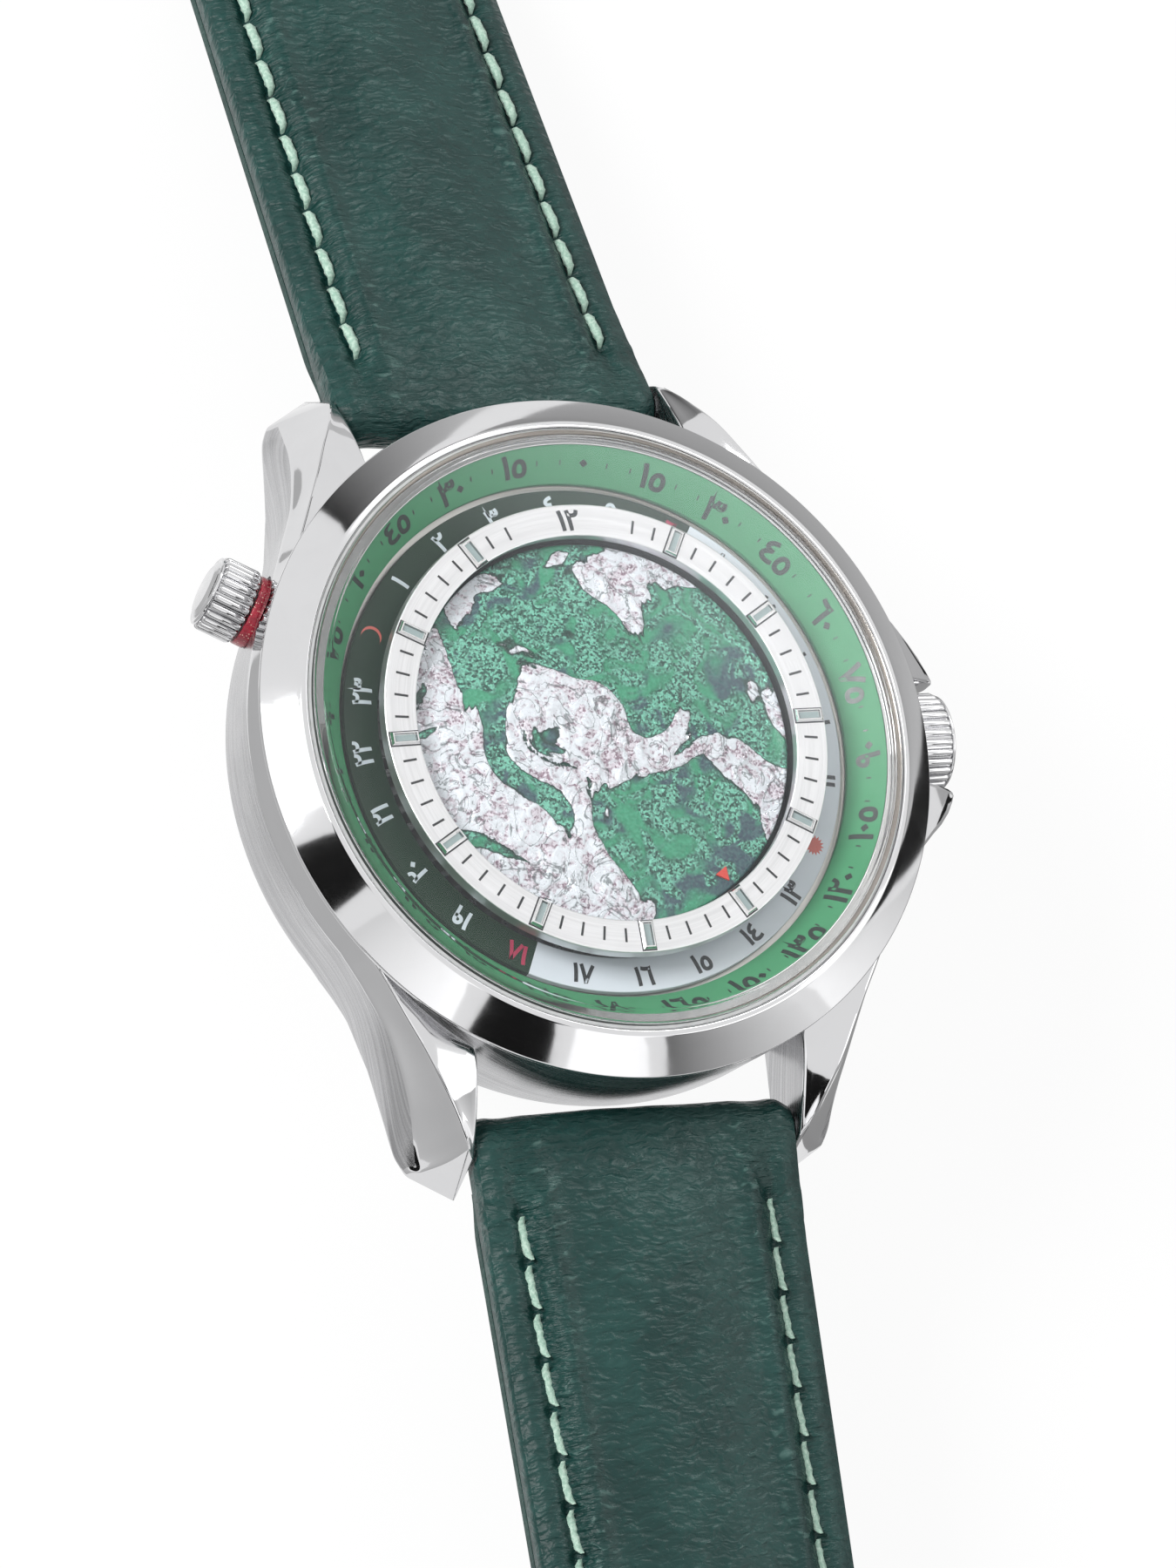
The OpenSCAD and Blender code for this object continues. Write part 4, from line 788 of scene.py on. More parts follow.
# %% Cutting the slot and the holes
SLOT_HALF, SLOT_FROM = 1.6, -2.8
slot = square_to(short_path, SHORT_L)
slot_plan = [(-SLOT_HALF, SLOT_FROM), (SLOT_HALF, SLOT_FROM), (SLOT_HALF, DEEP), (-SLOT_HALF, DEEP)]
slot_rows = [[tuple(slot @ Vector((x, y, z))) for x, y in slot_plan] for z in (-DEEP, DEEP)]
combine(strap_12, [skin("slot_cutter", slot_rows)])
combine(strap_6, drills())
print("leather faces after the cuts:", len(strap_12.data.polygons), len(strap_6.data.polygons))

# %% [markdown]
# ## Thread
# The thread is a twisted cord of three strands. One stitch is modelled once, as a short bowed twist
# that dives at both ends, and Geometry Nodes set it along each seam: the seam line is resampled at
# the pitch of the stitches and every copy is turned to the line's direction and to the face of the
# leather.


# %% One stitch
def stitch_mesh():
    """A twisted thread along Y, bowed up in Z; it ends below the leather."""
    rows = []
    sides, steps, dive = 12, 9, 0.16
    for i in range(steps):
        t = i / (steps - 1) * 2 - 1
        y = t * (STITCH_L / 2 + dive)
        bow = 0.22 * (1 - abs(t) ** 3) - 0.30 * smooth(abs(t), 0.8, 1.0)
        thick = 0.30 * (1 - 0.6 * abs(t) ** 4)
        ring = []
        for j in range(sides):
            a = 2 * math.pi * j / sides
            lobe = 1 + 0.2 * math.cos(3 * (a + t * 3.2))
            ring.append((thick * lobe * math.cos(a), y, bow + 0.85 * thick * lobe * math.sin(a)))
        rows.append(ring)
    return skin("one_stitch", rows, 80)


# %% Steps that every tree of copies shares
def sockets_in(tree, wanted):
    """Adds named inputs to a geometry tree and returns its input and output nodes."""
    tree.interface.new_socket("Geometry", in_out="INPUT", socket_type="NodeSocketGeometry")
    for label, kind in wanted.items():
        tree.interface.new_socket(label, in_out="INPUT", socket_type="NodeSocket" + kind)
    tree.interface.new_socket("Geometry", in_out="OUTPUT", socket_type="NodeSocketGeometry")
    return tree.nodes.new("NodeGroupInput").outputs, tree.nodes.new("NodeGroupOutput")


def spin(tree, angle):
    """A rotation by an angle round Z."""
    turn = give(tree, "ShaderNodeCombineXYZ", {2: angle}).outputs[0]
    return give(tree, "FunctionNodeEulerToRotation", {0: turn}).outputs[0]


def set_copies(tree, source, sink, **where):
    """Ends a tree: its item stands on each point, is made real and gets its finish."""
    item = give(tree, "GeometryNodeObjectInfo", {"Object": source["Item"]}).outputs["Geometry"]
    copies = give(tree, "GeometryNodeInstanceOnPoints", where | {"Instance": item})
    real = give(tree, "GeometryNodeRealizeInstances", {0: copies.outputs[0]})
    ins = {"Geometry": real.outputs[0], "Material": source["Finish"]}
    painted = give(tree, "GeometryNodeSetMaterial", ins)
    feed(tree, sink, {0: painted.outputs[0]})
    return tree


def run_tree(piece, tree, **values):
    """Sets a tree's inputs on a piece by their identifiers, bakes the result and drops the modifier."""
    modifier = piece.modifiers.new(tree.name, "NODES")
    modifier.node_group = tree
    for item in tree.interface.items_tree:
        if item.item_type == "SOCKET" and item.in_out == "INPUT":
            label = item.name.replace(" ", "_")
            if label in values:
                modifier[item.identifier] = values[label]
    return bake(piece)


# %% Copies along a seam
def seam_tree():
    """Copies of a stitch along a line: inputs are the stitch, the pitch, the tilt and the material."""
    tree = bpy.data.node_groups.new("stitches_on_seam", "GeometryNodeTree")
    wanted = {"Item": "Object", "Pitch": "Float", "Tilt": "Float", "Finish": "Material"}
    source, sink = sockets_in(tree, wanted)
    curve = give(tree, "GeometryNodeMeshToCurve", {"Mesh": source["Geometry"]}).outputs[0]
    ins = {"Curve": curve, "Length": source["Pitch"]}
    even = give(tree, "GeometryNodeResampleCurve", ins, mode="LENGTH").outputs[0]
    tangent = give(tree, "GeometryNodeInputTangent").outputs[0]
    face = vectors(tree, "CROSS_PRODUCT", (1, 0, 0), tangent)
    align = "FunctionNodeAlignRotationToVector"
    along = give(tree, align, {"Vector": tangent}, axis="Y").outputs[0]
    flat = give(tree, align, {"Rotation": along, "Vector": face}, axis="Z", pivot_axis="Y").outputs[0]
    ins = {"Rotation": flat, "Rotate By": spin(tree, source["Tilt"])}
    leaning = give(tree, "FunctionNodeRotateRotation", ins, rotation_space="LOCAL").outputs[0]
    return set_copies(tree, source, sink, Points=even, Rotation=leaning)


# %% Pale thread
def thread_finish():
    """Pale waxed thread with a darker twist."""
    made, tree, shader = new_material("pale_thread", Roughness=0.62, Sheen_Weight=0.25)
    fibre = clouds(tree, object_place(tree), 5.0, 3, 0.6)[0]
    colour = blend_colours(tree, mapped(tree, fibre, 0.35, 0.7), srgb(150, 186, 168), srgb(196, 222, 206))
    feed(tree, shader, {"Base Color": colour})
    bump(tree, shader, fibre, 0.05)
    return made


thread = thread_finish()
stitch = stitch_mesh()
stitches = seam_tree()
print("faces of one stitch:", len(stitch.data.polygons))


# %% The four seams
STITCH_TILT = math.radians(5)


def seam(name, path, halves, pads, holes, side_x):
    """The stitches of one seam, from the middle of its first stitch to the middle of its last."""
    count = round((holes[1] - holes[0]) / STITCH_PITCH)
    points = []
    for i in range(count * 4 - 3):
        s = holes[0] + STITCH_PITCH * (0.5 + i / 4)
        half, top = lookup(halves, s), lookup(pads, s)
        k = min(1.0, half / STRAP_END_HALF)
        height = min(lookup(EDGES, s), top) - 0.02
        points.append(path.at(s, side_x * (half - SEAM_IN * k), height))
    mesh = bpy.data.meshes.new(name)
    mesh.from_pydata((np.array(points) * MM).tolist(), [(i, i + 1) for i in range(len(points) - 1)], [])
    length = sum((Vector(a) - Vector(b)).length for a, b in zip(points, points[1:]))
    pitch = length / (count - 1) * MM * 0.9999
    return run_tree(show(name, mesh), stitches, Item=stitch, Pitch=pitch, Tilt=STITCH_TILT * path.side,
                    Finish=thread)


seams = {}
for body, *side in (("strap_12", short_path, SHORT_HALVES, SHORT_PADS, SHORT_HOLES),
                    ("strap_6", long_path, LONG_HALVES, LONG_PADS, LONG_HOLES)):
    for side_x, side_name in ((-1, "left"), (1, "right")):
        row = seam(f"{body}_stitches_{side_name}", *side, side_x)
        dress(row, thread, body, "strap_leather")
        seams[row.name] = len(row.data.polygons)
print("stitch faces:", seams)
bpy.data.objects.remove(stitch)

# %% [markdown]
# ## Leather
# Dyed calf changes its tone in broad soft clouds. Its creases are darkened in colour as painted shade,
# and its high grain is made paler, most on the pad's shoulders, partly as wear and partly as a painted
# highlight. The grain follows the strap through the kept attribute, so it bends with the leather. Near
# a seam the creases turn across it and grow, because the thread gathers the skin there. A low specular
# level gives the soft sheen of the finish.


# %% Leather finish
# The high grain turns paler, most on the pad's shoulders round PAD_EDGE: partly wear and partly a painted
# highlight.
PALE_WEAR_AND_HIGHLIGHT = srgb(84, 116, 110)
PAD_EDGE, SEAM_LINE = 6.2, 7.4  # where the pad is rubbed and where the thread gathers the skin, across


def leather(name, dark, pale, fineness, depth, attribute=True, rough=0.36):
    """Dyed leather; its grain runs across the strap, by the kept attribute or by the object's own place."""
    made, tree, shader = new_material(name, Specular_IOR_Level=0.3)
    if attribute:
        place = put(tree, "Attribute", attribute_name="strap_place").outputs["Vector"]
    else:
        place = object_place(tree)
    skin_grain = use(tree, grain, Place=place, Fineness=fineness, Bend=0.9)
    height, crease = skin_grain["Height"], skin_grain["Crease"]
    folds = clouds(tree, place, 0.22, 3)[0]
    colour = blend_colours(tree, mapped(tree, folds, 0.3, 0.7), dark, pale)
    # The creases are darkened in colour and the grain's tops lightened: painted shade and light of the grain.
    crease_shading = maths(tree, "MULTIPLY_ADD", crease, 0.2, 0.86)
    shade = put(tree, "CombineXYZ", {0: crease_shading, 1: crease_shading, 2: crease_shading}).outputs[0]
    colour = blend_colours(tree, 1.0, colour, shade, "MULTIPLY")
    wear_and_highlight = 0.2
    if attribute:
        aside = maths(tree, "ABSOLUTE", put(tree, "SeparateXYZ", {0: place}).outputs[0])
        wear_and_highlight = mapped(tree, away(tree, aside, PAD_EDGE), 1.3, 0.2, 0.1, 0.75)
    # Where the grain stands high it is made paler: partly wear and partly a painted highlight.
    paler_wear_and_highlight = maths(tree, "MULTIPLY", mapped(tree, height, 0.64, 0.86), wear_and_highlight)
    colour = blend_colours(tree, paler_wear_and_highlight, colour, PALE_WEAR_AND_HIGHLIGHT)
    if attribute:
        gathered = mapped(tree, away(tree, aside, SEAM_LINE), 2.3, 0.3)
        pull = clouds(tree, vectors(tree, "MULTIPLY", place, (0.9, 4.2, 1)), 1.0, distortion=0.3)[0]
        height = maths(tree, "MULTIPLY_ADD", maths(tree, "MULTIPLY", pull, gathered), 1.3, height)
    bump(tree, shader, height, depth)
    roughness = maths(tree, "MULTIPLY_ADD", crease, -0.1, rough)
    feed(tree, shader, {"Base Color": colour, "Roughness": roughness})
    return made


calf = leather("green_calf", srgb(18, 54, 51), srgb(28, 67, 63), (1.0, 2.3, 1.2), 0.17)
for side, body in ((strap_12, "strap_12"), (strap_6, "strap_6")):
    dress(side, calf, body, "strap_leather", f"{body}_leather")

# %% [markdown]
# The flank of the case and the sides of the lugs are brushed, while bevels, facets and tips are
# polished. Both finishes lie on one mesh. Each face gets its finish when the skin is made, since it
# is known there which strip of the section it belongs to, and the rounding of the edges and the
# joining keep it.


# %% Brushed steel of the flank
def lines_along_flank(name):
    """Brushed steel whose lines follow the flank and bend down along the lugs."""
    made, tree, shader = new_material(name, Metallic=1.0)
    place = object_place(tree)
    polar = use(tree, round_place, Place=place)
    along = maths(tree, "ABSOLUTE", put(tree, "SeparateXYZ", {0: place}).outputs[1])
    level = maths(tree, "ADD", polar["Height"], mapped(tree, along, 11, 24, 0, 5.5))
    line_place = put(tree, "CombineXYZ", {0: polar["Angle"], 1: 0.0, 2: level}).outputs[0]
    lines = use(tree, brush, Place=line_place, Fineness=(2.4, 1, 7))
    bump(tree, shader, lines["Height"], 0.012)
    marks = use(tree, smudge, Place=place)
    roughness = maths(tree, "MULTIPLY_ADD", lines["Streak"], 0.10, 0.20)
    roughness = maths(tree, "MULTIPLY_ADD", marks["Cloud"], 0.05, roughness)
    colour = blend_colours(tree, lines["Streak"], (0.40, 0.40, 0.41, 1), (0.60, 0.60, 0.61, 1))
    feed(tree, shader, {"Base Color": colour, "Roughness": roughness})
    return made


flank_steel = lines_along_flank("flank_brushed")
BRUSHED, POLISHED = 0, 1


def two_steels(piece):
    """Gives a piece of the case both of its finishes, in the order of their numbers."""
    for steel in (flank_steel, polished):
        piece.data.materials.append(steel)
    return piece

# %% [markdown]
# ## Middle case
# The case is a ring with four lugs that grow out of its sides. Seen from above the side of a lug
# leaves the round flank in a hollow curve, runs straight and ends in a slanted tip. Three edges run
# along it: the lower edge, the ridge over the brushed side, and the crest. Between ridge and crest
# lies a polished bevel that widens towards the tip. The right half is one skin of cross-sections
# from lug tip to lug tip, so the flank flows into the lugs without a seam; the left half is its
# mirror image, and a plain ring fills the gap between them.

# %% Sections of the case
TIP = 24.85
GAP_HALF = 10.35
CASE_BASE, SHOULDER_Z, CASE_TOP = 1.7, 7.0, 9.1
FLANK_LOW_R, FLANK_R, NECK_R, CAVITY_R = 20.3, 20.8, 20.6, 18.1
LUG_SIDE = [(11, 16.6), (12, 16.25), (13, 15.95), (14, 15.65), (16, 15.2), (18, 14.75), (20, 14.35),
            (22, 13.95), (23.3, 13.3), (26, 11.9)]
LUG_LOW = [(17.05, CASE_BASE), (24.85, 0.25), (26, 0.05)]
RIDGE_X = [(11, 17.75), (12, 17.2), (13, 16.75), (14, 16.25), (16, 15.2), (18, 14.4), (20, 13.7),
           (22, 13.05), (23.3, 12.7), (26, 12.0)]
RIDGE_Z = [(11.5, 7.0), (13, 7.0), (14, 6.85), (16, 6.35), (18, 5.5), (20, 4.3), (22, 2.5),
           (23.3, 1.4), (26, 0.3)]
CREST_X = [(12, 16.65), (13, 16.2), (14, 15.65), (16, 14.6), (18, 13.55), (20, 12.56), (22, 11.4),
           (23.4, 10.7), (26, 10.45)]
CREST_Z = [(12, 9.1), (13, 9.0), (14, 8.75), (16, 8.2), (18, 7.75), (20, 7.1), (22, 5.85),
           (23.4, 4.55), (26, 1.9)]
INNER_Z = [(13.5, 8.5), (15.8, 7.95), (18.2, 7.4), (20, 6.65), (21.5, 5.75), (22.7, 4.85),
           (23.7, 4.0), (26, 1.7)]


# %% Smooth lines through a table
def curve_at(table, x):
    """Value of a table at x on a smooth line through its points."""
    xs, ys = zip(*table)
    if x <= xs[0] or x >= xs[-1]:
        return lookup(table, x)
    slopes = [(ys[i + 1] - ys[i]) / (xs[i + 1] - xs[i]) for i in range(len(xs) - 1)]
    i = max(k for k in range(len(xs) - 1) if xs[k] <= x)
    width = xs[i + 1] - xs[i]

    def lean(k):
        if k in (0, len(xs) - 1):
            return slopes[min(k, len(slopes) - 1)]
        a, b = slopes[k - 1], slopes[k]
        return 0.0 if a * b <= 0 else 2 * a * b / (a + b)

    t = (x - xs[i]) / width
    return ((1 + 2 * t) * (1 - t) ** 2 * ys[i] + t * t * (3 - 2 * t) * ys[i + 1]
            + width * (t * (1 - t) ** 2 * lean(i) - t * t * (1 - t) * lean(i + 1)))


def soft_max(a, b, size):
    """The larger of two values, with a hollow curve where they cross."""
    gap = max(size - abs(a - b), 0) / size
    return max(a, b) + gap * gap * size / 4


def circle_x(r, y):
    """Half width at y of a circle round the middle."""
    return math.sqrt(r * r - y * y) if abs(y) < r else 0.0


# %% One section of the case
def case_section(y):
    """Section of the right half at y: underside, brushed side, bevel, top facet and inner wall."""
    d = abs(y)
    ridge_x = max(circle_x(FLANK_R, d), curve_at(RIDGE_X, d)) if d > 11.5 else circle_x(FLANK_R, d)
    crest_x = max(circle_x(NECK_R, d), curve_at(CREST_X, d)) if d > 12 else circle_x(NECK_R, d)
    ridge_z, crest_z = curve_at(RIDGE_Z, d), curve_at(CREST_Z, d)
    low = lookup(LUG_LOW, d)
    low_x = circle_x(FLANK_LOW_R, d)
    if d > 8:
        low_x = soft_max(low_x, curve_at(LUG_SIDE, max(d, 11)) - 0.9 * max(0, 11 - d), 1.2)
        ridge_x = soft_max(ridge_x, circle_x(FLANK_R, d), 0.3)
    inner_x = max(GAP_HALF, circle_x(18.9, d))
    inner_z = min(curve_at(INNER_Z, d), crest_z)
    corners = [(inner_x, low), (low_x, low), (ridge_x, ridge_z), (crest_x, crest_z), (inner_x, inner_z)]
    bulges = [0, 0.12 * smooth(d, 12, 17), -0.09 * smooth(d, 13, 17), -0.03, 0]
    return rounded_section(corners, bulges, y)


# %% Soft edges of a section
EDGE_STEPS, EDGE_CUTS = (4, 11, 9, 6, 7), (0.12, 0.24, 0.17, 0.17, 0.2)
SECTION_POINTS = sum(EDGE_STEPS) + 3 * len(EDGE_STEPS)
print("points of one section of the case:", SECTION_POINTS)


def rounded_section(corners, bulges, y):
    """Points of a section with short curves for corners; each stretch keeps its number of points."""
    stretches = []
    for k, steps in enumerate(EDGE_STEPS):
        following = (k + 1) % len(EDGE_STEPS)
        (ax, az), (bx, bz) = corners[k], corners[following]
        length = max(math.hypot(bx - ax, bz - az), 1e-6)
        t0 = min(EDGE_CUTS[k] / length, 0.35)
        t1 = 1 - min(EDGE_CUTS[following] / length, 0.35)
        stretch = []
        for i in range(steps):
            t = t0 + (t1 - t0) * i / (steps - 1)
            out = bulges[k] * math.sin(math.pi * t) / length
            stretch.append((ax + (bx - ax) * t + (bz - az) * out, az + (bz - az) * t - (bx - ax) * out))
        stretches.append(stretch)
    ring = []
    for k, stretch in enumerate(stretches):
        ring += stretch
        following = (k + 1) % len(EDGE_STEPS)
        (px, pz), (qx, qz), (cx, cz) = stretch[-1], stretches[following][0], corners[following]
        for u in (0.25, 0.5, 0.75):
            p, c, q = (1 - u) ** 2, 2 * u * (1 - u), u * u
            ring.append((p * px + c * cx + q * qx, p * pz + c * cz + q * qz))
    return [(x, y, z) for x, z in ring]


# %% [markdown]
# A lug ends in a slanted plane. Its long lines run on until they meet that plane, and a small round
# of four rows leads over to the flat tip, so the lug needs no cut and its edges stay clean.

# %% Lug with its slanted tip
TIP_FACING, TIP_AT, TIP_ROUND = np.array((0.444, 0.845, 0.296)), np.array((GAP_HALF, TIP, 0.4)), 0.13
LUG_START, LUG_END, LUG_ROWS = 16.0, 27.0, 40
lug_places = np.arange(LUG_START, LUG_END, 0.05)
lug_lines = np.array([case_section(d) for d in lug_places])


def on_line(j, y):
    """The point of the long line j of a lug at y."""
    x = float(np.interp(y, lug_places, lug_lines[:, j, 0]))
    return np.array((x, y, float(np.interp(y, lug_places, lug_lines[:, j, 2]))))


def plane_row(back):
    """Where the long lines meet the tip plane moved back by a distance."""
    row = []
    for j in range(SECTION_POINTS):
        near, far = LUG_START, LUG_END - 0.1
        for _ in range(26):
            mid = (near + far) / 2
            if float(TIP_FACING @ (on_line(j, mid) - TIP_AT)) + back < 0:
                near = mid
            else:
                far = mid
        row.append(on_line(j, near))
    return np.array(row)


def tip_rows():
    """Rows from the start of a lug to its rounded tip."""
    end = plane_row(TIP_ROUND)[:, 1]
    rows = []
    for i in range(1, LUG_ROWS + 1):
        places = LUG_START + (end - LUG_START) * i / LUG_ROWS
        rows.append([tuple(on_line(j, places[j])) for j in range(SECTION_POINTS)])
    for angle in (30, 60, 90):
        a = math.radians(angle)
        row = plane_row(TIP_ROUND * (1 - math.sin(a)))
        inward = np.cross(TIP_FACING, np.roll(row, -1, axis=0) - np.roll(row, 1, axis=0))
        inward /= np.linalg.norm(inward, axis=1)[:, None]
        if float(np.sum(inward * (row.mean(axis=0) - row))) < 0:
            inward = -inward
        rows.append([tuple(p) for p in row + inward * TIP_ROUND * (1 - math.cos(a))])
    return rows


# %% Two halves and the ring between them
def half_case():
    """The right half as a closed skin from tip to tip; its side and its inner walls are brushed."""
    near = list(np.linspace(12, LUG_START, 18))
    tip = tip_rows()
    middle = [-y for y in reversed(near)] + list(np.linspace(-12, 12, 41))[1:-1] + near
    far_tip = [[(x, -y, z) for x, y, z in row] for row in reversed(tip)]
    rows = far_tip + [case_section(y) for y in middle] + tip
    starts = [sum(EDGE_STEPS[:k]) + 3 * k for k in range(5)]
    brushed_lines = {j for k in (1, 4) for j in range(starts[k], starts[k] + EDGE_STEPS[k] - 1)}
    kinds = [BRUSHED if j in brushed_lines and 3 <= i < len(rows) - 4 else POLISHED
             for i in range(len(rows) - 1) for j in range(SECTION_POINTS)]
    return two_steels(skin("mid_case_half", rows, 20, kinds + [POLISHED, POLISHED]))


right = half_case()
left = right.copy()
left.data = right.data.copy()
left.data.transform(Matrix.Scale(-1, 4, (1, 0, 0)))
left.data.flip_normals()
bpy.context.scene.collection.objects.link(left)
ring_outline = [(CAVITY_R, CASE_BASE), (FLANK_LOW_R - 0.3, CASE_BASE),
                (FLANK_LOW_R - 0.05, CASE_BASE + 0.3), (FLANK_R - 0.05, SHOULDER_Z),
                (NECK_R - 0.05, CASE_TOP), (CAVITY_R, CASE_TOP)]
ring = two_steels(turned("mid_case_ring", ring_outline, 0.1))
for face in ring.data.polygons:
    outside = math.hypot(face.center.x, face.center.y) > 19.5 * MM
    face.material_index = BRUSHED if outside and abs(face.normal.z) < 0.3 else POLISHED

# %% Guards beside the winding crown
CROWN_Z, GUARD_SIDE, GUARD_ROWS = 4.6, 3.32, 15
GUARD_PLAN = [(18.5, 3.35), (19.9, 3.35), (22.7, 3.32), (23.6, 3.32), (23.93, 3.42), (23.98, 3.62),
              (23.7, 4.1), (23.15, 4.85), (22.3, 5.7), (21.3, 6.5), (20.3, 7.4), (19.1, 8.5),
              (18.0, 9.4)]
GUARD_HEIGHT = [(18, 8.45, 1.85), (20.7, 8.4, 1.9), (21.5, 7.75, 2.5), (22.6, 6.85, 3.1),
                (23.6, 6.0, 3.75), (24.1, 5.55, 4.1)]


def soft_edges(piece, width, angle):
    """Rounds the edges of a piece that are sharper than an angle in degrees."""
    bevel = piece.modifiers.new("soft edges", "BEVEL")
    bevel.width = width * MM
    bevel.segments = 3
    bevel.limit_method = "ANGLE"
    bevel.angle_limit = math.radians(angle)
    return bake(piece)


def guard(side):
    """One pointed guard: rows of its plan at rising heights, limited by its side view."""
    rows = []
    along, highs, lows = zip(*GUARD_HEIGHT)
    for i in range(GUARD_ROWS):
        t = i / (GUARD_ROWS - 1)
        inward = 1 - 0.016 * abs(2 * t - 1) ** 6
        row = []
        for x, y in GUARD_PLAN:
            low, high = float(np.interp(x, along, lows)), float(np.interp(x, along, highs))
            aside = GUARD_SIDE + (y - GUARD_SIDE) * inward
            row.append((x * inward, side * aside, low + (high - low) * t))
        rows.append(row)
    piece = two_steels(skin(f"guard_{side}", rows, 30))
    for face in piece.data.polygons:
        face.material_index = POLISHED
    return soft_edges(piece, 0.14, 30)

# %% Join the case
case = combine(ring, [right, left, guard(1), guard(-1)], "UNION", "EXACT")
case.name = case.data.name = "mid_case_piece"
finish_mesh(case.data, 22)

SETTING = math.radians(150)
to_x = Matrix.Translation((0, 0, CROWN_Z)) @ Matrix.Rotation(math.pi / 2, 4, "Y")
to_setting = Matrix.Rotation(SETTING, 4, "Z") @ to_x
POCKET_FROM, POCKET_TO = 20.45, 24.5
pockets = []
for name, radius, place in (("crown_pocket", 3.3, to_x), ("collar_pocket", 2.35, to_setting)):
    outline = [(0, POCKET_FROM), (radius, POCKET_FROM), (radius, POCKET_TO), (0, POCKET_TO)]
    pockets.append(turned(name, outline, 0, 96, place))
combine(case, pockets)
finish_mesh(case.data, 22)
carry(case, "root", "brushed_case", "mid_case")
print("case faces:", len(case.data.polygons), "box:", [round(v / MM, 2) for v in case.dimensions])

# %% [markdown]
# ## Bezel and crystal
# The bezel is one polished turning with a soft outer face, a bright edge and a narrow inner
# chamfer. The crystal is a thick domed sapphire: its high index lifts the dial and doubles it at
# the rim, so the glass has its real thickness. Light that falls through it to the dial is let pass
# without bending, which keeps the dial bright, and its coating, which takes away most of the
# mirrored light, is a dark tint of its reflections.

# %% Bezel, gasket and crystal
BEZEL_IN, BEZEL_R = 18.55, 20.96
bezel_outline = [(BEZEL_IN, CASE_TOP), (20.80, CASE_TOP), (BEZEL_R, 9.24), (BEZEL_R, 9.5),
                 (19.52, 10.62), (18.98, 11.14), (18.68, 11.2), (BEZEL_IN, 11.12)]
bezel = turned("bezel_piece", bezel_outline, 0.07, 360)
dress(bezel, bezel_steel, "root", "polished_case", "bezel")


def glass(name, ior, sheen=WHITE):
    """Clear glass that lets the light of lamps fall straight through; sheen weakens its reflections."""
    made, tree, shader = new_material(name, Base_Color=WHITE, Transmission_Weight=1.0, Roughness=0.0, IOR=ior,
                                      Specular_Tint=sheen)
    mix_out(tree, rays(tree, "Is Shadow Ray", "Is Diffuse Ray"), shader, put(tree, "BsdfTransparent"))
    return made


sapphire = glass("sapphire", 1.77, (0.27, 0.28, 0.30, 1))
CRYSTAL_UNDER, CRYSTAL_RIM, CRYSTAL_RISE, DOME_R = 10.95, 12.0, 0.75, 17.75
slopes = [math.radians(a) for a in range(0, 90, 5)]
dome = [(DOME_R * math.cos(a), CRYSTAL_RIM + CRYSTAL_RISE * math.sin(a) ** 2) for a in slopes]
foot = [(0, CRYSTAL_UNDER), (17.45, CRYSTAL_UNDER), (17.9, 10.32), (18.33, 10.32), (18.33, 11.68)]
crystal_outline = soften(foot, 0.12)[:-1] + dome + [(0, CRYSTAL_RIM + CRYSTAL_RISE)]
crystal = turned("crystal_piece", crystal_outline, 0, 240, None, 50)
dress(crystal, sapphire, "root", "clear_crystal", "crystal")
print("bezel and crystal faces:", len(bezel.data.polygons), len(crystal.data.polygons))


def plain(name, colour, rough, spread=0.12, size=1.2, **sockets):
    """A matt or painted finish with a faint cloudy change of tone and a fine tooth."""
    made, tree, shader = new_material(name, **sockets)
    place = object_place(tree)
    marks = use(tree, smudge, Place=place, Size=size)
    tone = blend_colours(tree, marks["Cloud"], colour, shaded(colour, spread))
    roughness = maths(tree, "MULTIPLY_ADD", marks["Cloud"], 0.08, rough)
    feed(tree, shader, {"Base Color": tone, "Roughness": roughness})
    bump(tree, shader, clouds(tree, place, 14.0)[0], 0.004)
    return made


rubber = plain("seal_rubber", (0.55, 0.56, 0.56, 1), 0.6)
gasket_outline = [(18.34, 10.3), (18.54, 10.3), (18.54, 11.1), (18.34, 11.1)]
gasket = turned("crystal_gasket_piece", gasket_outline, 0.04)
dress(gasket, rubber, "root", "seal_rubber", "crystal_gasket")

# %% [markdown]
# ## Pieces that keep their solids
# The movement, the gears and the plates have their true shape in the solids, so those stay and take
# a finish: turned nickel for plates and bridges, gilt brass for wheels, blued screws and ruby
# jewels.

# %% Finishes of the solids
brown_flange = metal("flange_brown", srgb(150, 143, 136), 0.3, (2, 8, 2), 0.002, turned_lines=True)
place_green = plain("place_green", srgb(74, 150, 106), 0.5, 0.06, Specular_IOR_Level=0.2)
dial_black = plain("dial_green_black", srgb(38, 46, 42), 0.5)
ruby, tree, shader = new_material("ruby", Roughness=0.06, IOR=1.76, Coat_Weight=0.5)
cloud = use(tree, smudge, Place=object_place(tree), Size=3.0)["Cloud"]
tone = blend_colours(tree, cloud, (0.42, 0.012, 0.05, 1), (0.62, 0.03, 0.10, 1))
feed(tree, shader, {"Base Color": tone})
red_paint = plain("pointer_red", srgb(214, 66, 52), 0.35, 0.08)
back_glass = glass("mineral_glass", 1.52)

